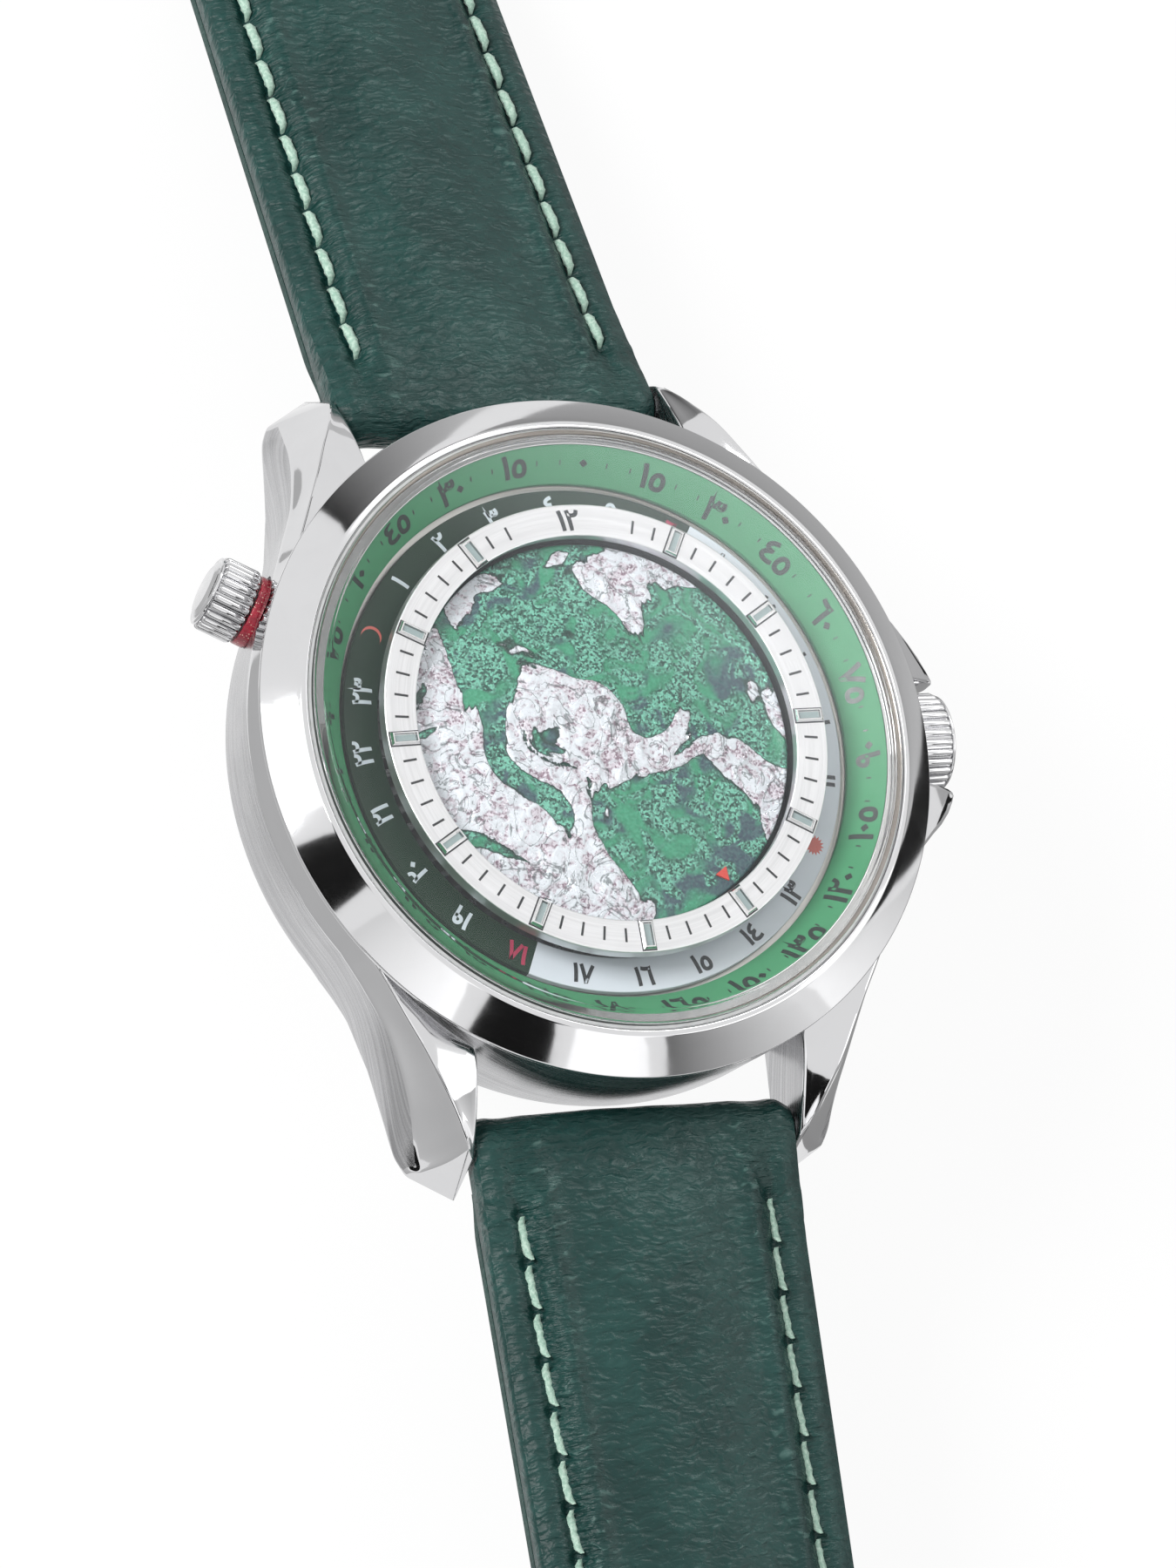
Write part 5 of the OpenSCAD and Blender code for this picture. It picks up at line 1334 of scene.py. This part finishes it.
FINISHES = {
    turned_steel: ["case_back"],
    back_glass: ["back_window"],
    grey_steel: ["crown_tube", "spring_bar_12", "spring_bar_6", "setting_stem", "winding_stem",
                 "winding_pinion", "setting_lever", "barrel_arbor", "ratchet_wheel", "cannon_pinion",
                 "rotor_bearing", "escape_wheel", "pallet_fork", "day_night_gear"],
    nickel: ["casing_ring", "main_plate", "train_bridge", "barrel_bridge", "balance_cock", "rotor"],
    brown_flange: ["inner_flange"],
    dial_black: ["dial_base"],
    gilt: ["hour_wheel", "idler_wheel", "place_ring_gear", "barrel", "centre_wheel",
           "minute_wheel", "third_wheel", "fourth_wheel", "balance_wheel"],
    spring_steel: ["mainspring"],
    blued: ["balance_spring", "bridge_screws"],
    ruby: ["jewels"],
    red_paint: ["hour_pointer"],
    polished: ["buckle_bar"],
}


def finish_node(name, finish):
    """Gives a solid a finish in each of its material slots."""
    holder = nodes[name]
    if not holder.material_slots:
        holder.data.materials.append(finish)
    for material_slot in holder.material_slots:
        material_slot.material = finish


for finish, names in FINISHES.items():
    for name in names:
        finish_node(name, finish)
print("solids finished:", sum(len(names) for names in FINISHES.values()))

# %% [markdown]
# ## Setting copies round the axis
# Minute lines, hour markers and the flutes of a crown all follow one rule: the same small part
# stands at equal angles round an axis. One tree of Geometry Nodes serves them all. The part is
# modelled where it stands at 12 o'clock, and each copy is only turned. The tree can skip every
# fifth place, and a gap near 12 o'clock.


# %% Copies round an axis
def round_tree():
    """Inputs: the part, how many places, which places it skips, half the gap's angle, the finish."""
    tree = bpy.data.node_groups.new("set_round_the_axis", "GeometryNodeTree")
    wanted = {"Item": "Object", "Count": "Int", "Skip": "Int", "Gap": "Float", "Finish": "Material"}
    source, sink = sockets_in(tree, wanted)
    count, skip = source["Count"], source["Skip"]
    places = give(tree, "GeometryNodePoints", {"Count": count}).outputs[0]
    index = give(tree, "GeometryNodeInputIndex").outputs[0]
    angle = maths(tree, "MULTIPLY", index, maths(tree, "DIVIDE", -2 * math.pi, count))
    beat = maths(tree, "MODULO", index, maths(tree, "MAXIMUM", skip, 1.0))
    on_beat, skipping = maths(tree, "LESS_THAN", beat, 0.5), maths(tree, "GREATER_THAN", skip, 0.5)
    gap_cosine = maths(tree, "COSINE", source["Gap"])
    at_gap = maths(tree, "GREATER_THAN", maths(tree, "COSINE", angle), gap_cosine)
    left_out = maths(tree, "MAXIMUM", maths(tree, "MULTIPLY", on_beat, skipping), at_gap)
    kept = maths(tree, "LESS_THAN", left_out, 0.5)
    return set_copies(tree, source, sink, Points=places, Selection=kept, Rotation=spin(tree, angle))


copies_round = round_tree()


def set_round(name, item, count, finish, skip=0, gap=0.0, place=None):
    """Copies of an item round Z as one plain mesh, put in place afterwards; the item is removed."""
    piece = show(name, bpy.data.meshes.new(name))
    run_tree(piece, copies_round, Item=item, Count=count, Skip=skip, Gap=math.radians(gap), Finish=finish)
    bpy.data.meshes.remove(item.data)
    if place is not None:
        moved = place.copy()
        moved.translation = place.translation * MM
        piece.data.transform(moved)
    piece.data.shade_smooth()
    piece.data.set_sharp_from_angle(angle=math.radians(35))
    print(name, "faces:", len(piece.data.polygons))
    return piece

# %% [markdown]
# ## Hour ring
# The silvered hour ring is turned with small bright edges. Its minute lines are printed black, four
# between two markers. The markers are polished frames with a sloping face on each side and a pale
# inlay. Under each frame lies a black plate a little larger than it: a dark outline and a painted
# shadow at its foot. At 12 o'clock stands the plain number of the hour.

# %% Hour ring, lines, markers and inlays
RING_TOP, RING_MID, RING_IN, RING_OUT, RING_UNDER = 10.4, 12.75, 11.8, 13.75, 9.6
ring_section = [(RING_IN, RING_UNDER), (RING_OUT, RING_UNDER), (RING_OUT, RING_TOP), (RING_IN, RING_TOP)]
chapter = turned("chapter_ring_piece", ring_section, 0.09, 360)
dress(chapter, silver_dial, "root", "ring_silver", "chapter_ring")
ink = plain("black_ink", (0.012, 0.013, 0.014, 1), 0.32)
inlay_glow = plain("pale_inlay", srgb(150, 168, 168), 0.28, 0.05, Coat_Weight=0.3)


def block(name, loops, at_y=RING_MID):
    """A small block on the hour ring; a loop is its half width, half length and height over the ring."""
    rows = [[(sx * w, at_y + sy * t, RING_TOP + z) for sx, sy in ((-1, -1), (1, -1), (1, 1), (-1, 1))]
            for w, t, z in loops]
    return skin(name, rows, 20)


LINE = [(0.07, 0.42, -0.01), (0.07, 0.42, 0.012)]
FRAME = [(0.40, 0.86, -0.02), (0.40, 0.86, 0.08), (0.32, 0.78, 0.25), (0.25, 0.70, 0.25),
         (0.24, 0.69, 0.02)]
# A black plate a little larger than each frame, under it: a dark outline round the marker and a painted
# shadow at its foot.
OUTLINE_AND_SHADOW_PLATE = [(0.47, 0.93, -0.01), (0.46, 0.92, 0.012)]
WINDOW = [(0.19, 0.64, 0.01), (0.18, 0.63, 0.13)]
lines = set_round("minute_lines", block("line", LINE, RING_MID - 0.02), 60, ink, skip=5, gap=15)
carry(lines, "root", "dial_green_black")
for name, shape, finish, slot, *replaced in (
        ("hour_marker_frames", FRAME, marker_steel, "marker_steel", "hour_markers"),
        ("marker_feet", OUTLINE_AND_SHADOW_PLATE, ink, "dial_green_black"),
        ("marker_windows", WINDOW, inlay_glow, "marker_inlay", "marker_inlays")):
    carry(set_round(name, block("one_of_them", shape), 12, finish, gap=9), "root", slot, *replaced)

# %% [markdown]
# ## Numbers
# The dial is numbered in Arabic-Indic figures. A number is a text object, which Blender fills with
# its built-in letters; it is turned into a mesh, and each of its points is bent round the ring it
# stands on, at the height of the ring there. The ink keeps a small thickness, so it catches light
# like real print.

# %% A number as points and faces
INK, INK_UNDER = 0.016, -0.004
FIRST_FIGURE = 0x660  # where the Arabic-Indic figures start


def figures(value, size):
    """Points and faces of a number, centred, with its height along Y and the ink's thickness along Z."""
    text = bpy.data.curves.new("figures", "FONT")
    text.body = "".join(chr(FIRST_FIGURE + int(c)) for c in str(value))
    text.extrude = 0.02
    text.offset = 0.01
    text.bevel_depth = 0.022
    text.bevel_resolution = 0
    text.resolution_u = 3
    holder = show("figures", text)
    bpy.context.view_layer.update()
    mesh = bpy.data.meshes.new_from_object(holder)
    points = np.array([tuple(v.co) for v in mesh.vertices])
    faces = [tuple(p.vertices) for p in mesh.polygons]
    bpy.data.objects.remove(holder)
    bpy.data.curves.remove(text)
    bpy.data.meshes.remove(mesh)
    middle = (points.min(axis=0) + points.max(axis=0)) / 2
    points -= middle
    points[:, :2] *= size / 0.70
    points[:, 2] = np.where(points[:, 2] > 0, INK, INK_UNDER)
    return points, faces


# %% Numbers laid on a ring
def lay(points, at, middle, outward, surface, slope=1.0):
    """Bends points round a ring: at is the clockwise angle from 12, outward tells where the tops point."""
    way = 1 if outward else -1
    radius = middle + way * points[:, 1] * slope
    angle = np.radians(at) + way * points[:, 0] / middle
    height = np.array([surface(r) for r in radius]) + points[:, 2]
    return np.column_stack([radius * np.sin(angle), radius * np.cos(angle), height])


def print_on(name, signs, finish, body, slot):
    """Joins laid signs to one piece of print."""
    points, faces = [], []
    for laid, own in signs:
        faces += [tuple(i + len(points) for i in face) for face in own]
        points += laid.tolist()
    piece = new_piece(name, points, faces, 30)
    return dress(piece, finish, body, slot)


def flat_at(z):
    """The surface of a flat ring at a height."""
    return lambda r: z


number_ink = plain("grey_ink", srgb(34, 38, 40), 0.4)
twelve, twelve_faces = figures(12, 1.22)
twelve = lay(twelve, 0, RING_MID, True, flat_at(RING_TOP))
print_on("hour_number_12", [(twelve, twelve_faces)], number_ink, "root", "dial_green_black")

# %% [markdown]
# ## Day and night ring
# The ring under the hour ring counts 24 hours. Its night half is dark green with pale numbers, its
# day half is pale blue grey with dark numbers, and midnight and noon are a red crescent and a red
# sun.

# %% Day and night ring
DAY_TOP, DAY_MID, DAY_IN, DAY_OUT, DAY_UNDER = 8.3, 14.35, 13.2, 15.26, 7.9
NIGHT_FROM, NIGHT_TO = 206, 34
day_outline = [(DAY_IN, DAY_UNDER), (DAY_OUT, DAY_UNDER), (DAY_OUT, DAY_TOP), (DAY_IN, DAY_TOP)]
day_ring = turned("day_night_ring_piece", day_outline, 0.06, 360)
night_paint = plain("night_green", srgb(32, 56, 40), 0.4, 0.16, 0.25, Specular_IOR_Level=0.2)
day_paint = plain("day_blue_grey", srgb(222, 230, 238), 0.34, 0.04, 0.25, Coat_Weight=0.1)
dress(day_ring, night_paint, "day_night_ring", "day_night_print", "day_night_ring")
day_ring.data.materials.append(day_paint)
for face in day_ring.data.polygons:
    clockwise = math.degrees(math.atan2(face.center.x, face.center.y)) % 360
    face.material_index = 0 if clockwise > NIGHT_FROM or clockwise < NIGHT_TO else 1


# %% Hours, crescent and sun
def flat_sign(outline):
    """A thin sign from a closed outline of (x, y) points."""
    count = len(outline)
    points = np.array([(x, y, z) for z in (INK_UNDER, INK) for x, y in outline])
    faces = [tuple(range(count))[::-1], tuple(range(count, 2 * count))]
    faces += [(i, (i + 1) % count, (i + 1) % count + count, i + count) for i in range(count)]
    return points, faces


def arc(centre, across, along, start, end, steps):
    """Points of a stretch of an ellipse, between two angles in degrees."""
    angles = np.radians(np.linspace(start, end, steps))
    return [(across * math.cos(a) + centre, along * math.sin(a)) for a in angles]


def on_day_ring(sign, hour, outward=True, shift=0.0):
    """A sign laid at an hour of the day and night ring."""
    points, faces = sign
    at = (300 + 15 * hour) % 360 - shift
    return lay(points, at, DAY_MID, outward, flat_at(DAY_TOP)), faces


crescent = flat_sign(arc(-0.2, 0.62, 0.62, -104, 104, 22) + arc(-0.42, 0.66, 0.60, 96, -96, 20))
rays_of_sun = [(0.62 if i % 2 else 0.42, math.pi * i / 16) for i in range(32)]
sun = flat_sign([(r * math.cos(a), r * math.sin(a)) for r, a in rays_of_sun])
pale_print, dark_print, red_print = [], [], []
for hour in [*range(1, 12), *range(13, 24)]:
    night = hour < 7 or hour > 17
    laid = on_day_ring(figures(hour, 1.08), hour, night, 0 if night else 1.5)
    (red_print if hour in (6, 18) else pale_print if night else dark_print).append(laid)
moon_print = [on_day_ring(crescent, 24), on_day_ring(sun, 12)]
for name, signs, finish in (
        ("night_numbers", pale_print, plain("pale_ink", srgb(214, 226, 232), 0.4, 0.04)),
        ("day_numbers", dark_print, number_ink),
        ("dusk_numbers", red_print, plain("magenta_ink", srgb(176, 52, 84), 0.4, 0.05)),
        ("sun_and_moon", moon_print, plain("coral_ink", srgb(214, 104, 92), 0.4, 0.05))):
    print_on(name, signs, finish, "day_night_ring", "day_night_print")
print("pale, dark and red hours:", len(pale_print), len(dark_print), len(red_print))

# %% [markdown]
# ## Place ring
# The sloping green ring is read against the day and night ring. Here it carries degrees of
# longitude, fifteen to an hour, which is what such a ring stands for, with short lines between
# them.

# %% Place ring and its degrees
PLACE_IN, PLACE_LOW, PLACE_OUT, PLACE_HIGH = 15.6, 8.5, 17.75, 10.0
PLACE_WALL, PLACE_UNDER = 17.9, 8.1
place_outline = [(PLACE_IN, PLACE_UNDER), (PLACE_WALL, PLACE_UNDER), (PLACE_WALL, PLACE_HIGH),
                 (PLACE_OUT, PLACE_HIGH), (PLACE_IN, PLACE_LOW)]
place_ring = turned("place_ring_piece", place_outline, 0.07, 360)
dress(place_ring, place_green, "place_ring", "place_green", "place_ring")


def on_slope(r):
    """Height of the sloping ring at a radius."""
    return PLACE_LOW + (r - PLACE_IN) * (PLACE_HIGH - PLACE_LOW) / (PLACE_OUT - PLACE_IN)


SLOPE = math.cos(math.atan2(PLACE_HIGH - PLACE_LOW, PLACE_OUT - PLACE_IN))
PLACE_MID = 16.72
short_line = flat_sign([(-0.045, -0.16), (0.045, -0.16), (0.045, 0.16), (-0.045, 0.16)])
degree_print = []
for i in range(24):
    at = 15 * i + 7.5
    upright = at > 270 or at < 90
    number = figures(15 * i if i <= 12 else 360 - 15 * i, 1.48)
    for sign, shift in ((number, 0), (short_line, 5), (short_line, 10)):
        degree_print.append((lay(sign[0], at + shift, PLACE_MID, upright, on_slope, SLOPE), sign[1]))
green_ink = plain("deep_green_ink", srgb(30, 44, 38), 0.4)
print_on("place_degrees", degree_print, green_ink, "place_ring", "place_green")
print("signs on the place ring:", len(degree_print))

# %% [markdown]
# ## Picture disc
# The disc is domed and carries a land and sea picture in low relief: frosted silver land with lilac
# shades, an emerald sea with a fine sparkle, and slate-blue deeps. The land is invented: its coast
# is the level line of a noise with fixed places. The mesh has the broad relief and keeps the level
# in an attribute; the shader reads it for the colours and adds the frost, which is far too fine for
# a mesh.

# %% Disc with relief
DISC_R, DISC_Z, DISC_RISE = 11.6, 9.2, 1.0
DISC_EDGE = [(DISC_R, 9.16), (DISC_R, 8.98), (DISC_R - 0.08, 8.9), (1.2, 8.9)]
RINGS, SPOKES = 96, 300


def ground_level(x, y):
    """Level of the invented land: above 0.5 is land."""
    bend = noise.noise(Vector((x * 0.16 + 9.1, y * 0.16, 2.2)))
    broad = noise.fractal(Vector((x * 0.125 + bend + 3.7, y * 0.125 - bend + 8.3, 0.6)), 0.9, 2.1, 5)
    return min(1.0, max(0.0, 0.5 + 0.66 * broad))


def disc_point(r, a):
    """A point of the picture with its ground level."""
    x, y = r * math.cos(a), r * math.sin(a)
    level = ground_level(x, y)
    rough = noise.noise(Vector((x * 1.5, y * 1.5, 4.4)))
    rough += 0.6 * noise.noise(Vector((x * 3.4, y * 3.4, 1.1)))
    land = smooth(level, 0.485, 0.53)
    ridge = 1 - 3.0 * abs(noise.noise(Vector((x * 0.7 + 2, y * 0.7, 9.4))))
    relief = (0.09 * land + 0.05 * land * rough + 0.10 * land * ridge) * (1 - smooth(r, 10.1, 11.0))
    return (x, y, DISC_Z + DISC_RISE * (1 - (r / DISC_R) ** 2) + relief), level


def picture_disc():
    """Domed disc with its picture on top, a turned edge and a flat underside."""
    spokes = [2 * math.pi * j / SPOKES for j in range(SPOKES)]
    points, levels = [(0, 0, DISC_Z + DISC_RISE + 0.02)], [ground_level(0, 0)]
    for i in range(1, RINGS + 1):
        for a in spokes:
            point, level = disc_point((DISC_R - 0.05) * i / RINGS, a)
            points.append(point)
            levels.append(level)
    for r, z in DISC_EDGE:
        points += [(r * math.cos(a), r * math.sin(a), z) for a in spokes]
        levels += [0.4] * SPOKES
    last = RINGS + len(DISC_EDGE) - 1
    faces = [(0, 1 + j, 1 + (j + 1) % SPOKES) for j in range(SPOKES)]
    for i in range(last):
        for j in range(SPOKES):
            a, b = 1 + i * SPOKES + j, 1 + i * SPOKES + (j + 1) % SPOKES
            faces.append((a, a + SPOKES, b + SPOKES, b))
    faces.append(tuple(1 + last * SPOKES + j for j in range(SPOKES)))
    land = sum(v > 0.5 for v in levels) / len(levels)
    print("disc faces:", len(faces), "land share:", round(land, 2))
    return new_piece("hour_disc_piece", points, faces, 50, kept=("ground", levels))


# %% Colours and frost of the picture
def picture_finish():
    """Colours and frost of the picture."""
    made, tree, shader = new_material("land_and_sea", Coat_Weight=0.25, Coat_Roughness=0.12)
    place = object_place(tree)
    level = put(tree, "Attribute", attribute_name="ground").outputs["Fac"]
    fine = clouds(tree, place, 6.0, 2, 0.8)[0]
    frost = put(tree, "TexVoronoi", {"Vector": place, "Scale": 8.0}).outputs["Color"]
    frost = put(tree, "SeparateColor", {0: frost}).outputs[0]
    deeps = clouds(tree, place, 0.24, 3, distortion=0.6)[0]
    swirl = clouds(tree, place, 0.42, 4, distortion=1.6)[0]
    veins = clouds(tree, place, 1.3, 5, distortion=1.0)[0]
    grit = maths(tree, "ADD", maths(tree, "MULTIPLY", frost, 0.5), maths(tree, "MULTIPLY", fine, 0.5))
    speck = blend_colours(tree, mapped(tree, grit, 0.30, 0.74), srgb(8, 66, 54), srgb(128, 206, 180))
    marble = blend_colours(tree, mapped(tree, swirl, 0.40, 0.62), srgb(10, 70, 52), srgb(50, 152, 112))
    marble = blend_colours(tree, mapped(tree, deeps, 0.46, 0.57), marble, srgb(50, 68, 86))
    wild = mapped(tree, swirl, 0.58, 0.44, 0.15, 1)
    sea = blend_colours(tree, wild, marble, speck)
    mottle = mapped(tree, grit, 0.30, 0.60)
    mottle = blend_colours(tree, mottle, srgb(136, 112, 126), srgb(226, 220, 228))
    land = blend_colours(tree, mapped(tree, veins, 0.40, 0.56), mottle, srgb(232, 238, 244))
    crack = mapped(tree, away(tree, swirl, 0.5), 0.02, 0.004, 0, 0.7)
    land = blend_colours(tree, crack, land, srgb(58, 74, 74))
    edge = maths(tree, "ADD", level, maths(tree, "MULTIPLY_ADD", veins, 0.09, -0.045))
    # A dark band round every coast: an outline of the picture and painted shade at the foot of the land's
    # relief.
    coast_outline_and_shade = maths(tree, "MULTIPLY", mapped(tree, edge, 0.458, 0.49), mapped(tree, edge, 0.512, 0.496))
    on_land = mapped(tree, edge, 0.495, 0.508)
    picture = blend_colours(tree, on_land, sea, land)
    picture = blend_colours(tree, maths(tree, "MULTIPLY", coast_outline_and_shade, 0.9), picture, srgb(10, 46, 38))
    height = maths(tree, "MULTIPLY_ADD", grit, maths(tree, "MULTIPLY_ADD", wild, 0.5, 0.15), on_land)
    height = maths(tree, "MULTIPLY_ADD", maths(tree, "MULTIPLY", on_land, veins), 1.6, height)
    bump(tree, shader, height, 0.09)
    glint = maths(tree, "MULTIPLY", mapped(tree, frost, 0.72, 0.9, 0, 0.6), wild)
    feed(tree, shader, {"Base Color": picture, "Metallic": glint,
                        "Roughness": mapped(tree, frost, 0.8, 0.95, 0.44, 0.2)})
    return made


disc = picture_disc()
dress(disc, picture_finish(), "hour_disc", "hour_disc_art", "hour_disc")

# %% [markdown]
# ## Crowns
# A crown is a small turned drum with flutes for the fingers. Each flute is one rounded rib, copied
# round the drum; between the ribs the drum shows as a dark groove. The end face is a low satin dome
# set in a bright rim. The crown at 10 o'clock sets the place ring, and a red collar under it tells
# the two apart.


# %% Fluted crowns
RIB_HEIGHT, RIB_SHARE = 0.30, 0.74


def rib(radius, width, start, end):
    """One rounded rib that stands at 12 o'clock of a drum whose axis is Z."""
    rows = []
    for z, share in ((start, 0.35), (start + 0.06, 0.8), (start + 0.2, 1.0), (end - 0.24, 1.0),
                     (end - 0.08, 0.78), (end, 0.3)):
        half = width / 2 * (0.75 + 0.25 * share)
        row = [(half * math.cos(a), radius - RIB_HEIGHT + RIB_HEIGHT * share * math.sin(a) ** 0.8, z)
               for a in (math.pi * i / 8 for i in range(9))]
        rows.append(row + [(-width / 2 * 0.8, radius - 0.5, z), (width / 2 * 0.8, radius - 0.5, z)])
    return skin("rib", rows, 50)


cap_satin = metal("crown_cap", (0.74, 0.74, 0.75, 1), 0.17, smear=0.06)


def crown(name, start, radius, length, flutes, place):
    """Drum with its dome, and the ribs round it."""
    end = start + length
    outline = [(0, start + 0.05), (radius - 0.34, start + 0.05), (radius - 0.34, end - 0.3),
               (radius - 0.17, end - 0.26), (radius - 0.17, end - 0.12), (radius - 0.30, end - 0.05),
               (radius - 0.44, end - 0.09), (radius - 0.55, end), (radius * 0.62, end + 0.14),
               (radius * 0.3, end + 0.22), (0, end + 0.24)]
    drum = turned(f"{name}_drum", outline, 0.05, 120, place)
    dress(drum, polished, name, "polished_case", name)
    drum.data.materials.append(cap_satin)
    middle = place @ Vector((0, 0, end)) * MM
    out = (place.to_3x3() @ Vector((0, 0, 1))).normalized()
    for face in drum.data.polygons:
        off = face.center - middle
        deep = off.dot(out)
        aside = (off - deep * out).length / MM
        face.material_index = 1 if deep / MM > -0.04 and aside < radius - 0.5 else 0
    pitch = 2 * math.pi * radius / flutes
    one_rib = rib(radius, RIB_SHARE * pitch, start, end - 0.28)
    carry(set_round(f"{name}_flutes", one_rib, flutes, polished, place=place), name, "polished_case")


crown("winding_crown", 21.15, 3.0, 2.8, 30, to_x)
crown("setting_crown", 21.35, 2.3, 2.55, 24, to_setting)


# %% Red collar
def sparkle_red():
    """Crimson enamel with fine beige specks."""
    made, tree, shader = new_material("crimson_enamel", Roughness=0.34, Coat_Weight=0.3)
    place = object_place(tree)
    cells = put(tree, "TexVoronoi", {"Vector": place, "Scale": 9.0}).outputs
    picked = put(tree, "SeparateColor", {0: cells["Color"]}).outputs[0]
    patch = clouds(tree, place, 1.5)[0]
    chosen = mapped(tree, maths(tree, "MULTIPLY_ADD", patch, 0.55, picked), 0.98, 1.06)
    speck = maths(tree, "MULTIPLY", mapped(tree, cells["Distance"], 0.42, 0.25), chosen)
    tone = blend_colours(tree, mapped(tree, patch, 0.3, 0.7), srgb(126, 18, 38), srgb(158, 26, 48))
    feed(tree, shader, {"Base Color": blend_colours(tree, speck, tone, srgb(216, 178, 160))})
    bump(tree, shader, clouds(tree, place, 6.0, 3)[0], 0.05)
    return made


collar_outline = [(0.66, 17.95), (1.29, 17.95), (1.29, 20.45), (2.15, 20.45), (2.15, 21.25),
                  (0.66, 21.25)]
collar = turned("setting_collar_piece", collar_outline, 0.12, 96, to_setting)
dress(collar, sparkle_red(), "root", "red_collar", "setting_collar")
print("collar faces:", len(collar.data.polygons))

# %% [markdown]
# ## Linings, keepers and buckle
# Under each side lies a softer lining leather, and two loops on the short side hold the tucked end.
# The linings follow the same paths as the leather. A keeper is a flat band bent to a rounded loop,
# with a groove pressed along both of its edges. The buckle keeps its solid's shape, but its edges
# are rounded as cast and tumbled steel is.


# %% Linings
LINING_TOP, LINING_UNDER, LINING_START = -0.62, -1.4, 2.4


def lining(name, path, halves, end, rows):
    """Thin slab under the leather with rounded lower edges; the grain's attribute is kept."""
    sections, places = [], []
    for i in range(rows + 1):
        s = LINING_START + (end - LINING_START) * i / rows
        half = lookup(halves, s) - 0.02 - 0.25 * (1 - smooth(s, LINING_START, LINING_START + 3))
        ring = [(half, LINING_TOP), (half, -1.2), (half - 0.08, -1.34), (half - 0.25, LINING_UNDER),
                (half * 0.5, LINING_UNDER), (0, LINING_UNDER)]
        ring += [(-x, h) for x, h in ring[-2::-1]]
        ring += [(x, LINING_TOP) for x in (-half * 0.5, 0, half * 0.5)]
        sections.append([path.at(s, x, h) for x, h in ring])
        places.extend((x, s, h) for x, h in ring)
    points = [p for r in sections for p in r]
    faces = skin_faces(rows + 1, len(sections[0]))
    return new_piece(name, points, faces, 40, kept=("strap_place", places))


lining_skin = leather("lining_calf", srgb(22, 54, 50), srgb(32, 68, 62), (3.4, 4.2, 3.0), 0.05, rough=0.58)
lining_12 = lining("strap_12_lining_piece", short_path, SHORT_HALVES, SHORT_L - 3, 140)
lining_6 = lining("strap_6_lining_piece", long_path, LONG_HALVES, LONG_L, 220)
combine(lining_6, drills())
for side, body in ((lining_12, "strap_12"), (lining_6, "strap_6")):
    dress(side, lining_skin, body, "lining_leather", f"{body}_lining")
print("lining faces:", len(lining_12.data.polygons), len(lining_6.data.polygons))

# %% Keepers
KEEPER_HALF, KEEPER_LOW, KEEPER_HIGH, KEEPER_CORNER = 9.16, -1.44, 4.58, 0.9
KEEPER_THICK, KEEPER_WIDE = 0.86, 4.2
# half of the band's section: place across in half widths, and depth in thicknesses
KEEPER_SECTION = [(0.3, 1.0), (0.66, 0.99), (0.71, 0.86), (0.76, 0.99), (0.84, 1.0), (0.94, 0.94),
                  (1, 0.72), (1, 0.12)]


def keeper(name, s):
    """A band of leather round the strap: a rounded loop with soft edges and two pressed grooves."""
    x, low, high = KEEPER_HALF - KEEPER_CORNER, KEEPER_LOW + KEEPER_CORNER, KEEPER_HIGH - KEEPER_CORNER
    section = [(-w, t) for w, t in KEEPER_SECTION[::-1]] + KEEPER_SECTION + [(0.9, 0.0), (-0.9, 0.0)]
    place = square_to(short_path, s)
    rows = []
    for cx, cz, start in ((x, high, 0), (-x, high, 90), (-x, low, 180), (x, low, 270)):
        for a in np.radians(np.linspace(start, start + 90, 9)):
            c, n = math.cos(a), math.sin(a)
            out = [(KEEPER_CORNER + KEEPER_THICK * t, w * KEEPER_WIDE / 2) for w, t in section]
            rows.append([tuple(place @ Vector((cx + reach * c, y, cz + reach * n))) for reach, y in out])
    return skin(name, rows, 50, along=True)


band_calf = leather("keeper_calf", srgb(24, 60, 56), srgb(35, 76, 71), (3.2, 3.0, 3.0), 0.06, attribute=False)
for name, s, body in (("fixed_keeper", 68.4, "strap_12"), ("free_keeper", 59.2, "free_keeper")):
    dress(keeper(f"{name}_piece", s), band_calf, body, "strap_leather", name)

# %% Buckle with rounded edges
BUCKLE_ANGLE = 35


def rounded(node, width):
    """A copy of a solid with its loose triangles merged and its edges rounded."""
    mesh = nodes[node].data.copy()
    mesh.name = f"{node}_piece"
    work = bmesh.new()
    work.from_mesh(mesh)
    bmesh.ops.remove_doubles(work, verts=work.verts, dist=1e-6)
    bmesh.ops.dissolve_limit(work, angle_limit=math.radians(1), verts=work.verts, edges=work.edges)
    work.to_mesh(mesh)
    work.free()
    piece = soft_edges(show(f"{node}_piece", mesh), width, BUCKLE_ANGLE)
    finish_mesh(piece.data, BUCKLE_ANGLE)
    print(node, "faces:", len(piece.data.polygons))
    return piece


for body, node, width in (("buckle", "buckle_frame", 0.22), ("buckle_tongue", "buckle_tongue", 0.16)):
    dress(rounded(node, width), polished, body, "buckle_steel", node)

# %% [markdown]
# ## Sizes
# The box of the finished watch and the box of its solids are both printed.

# %% Sizes
seen_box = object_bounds()
boxes = {"cad": [list(corner) for corner in cad_box], "visual": [list(corner) for corner in seen_box]}
for name, corners in boxes.items():
    print(name, "box in mm:", [round(v / MM, 2) for corner in corners for v in corner])
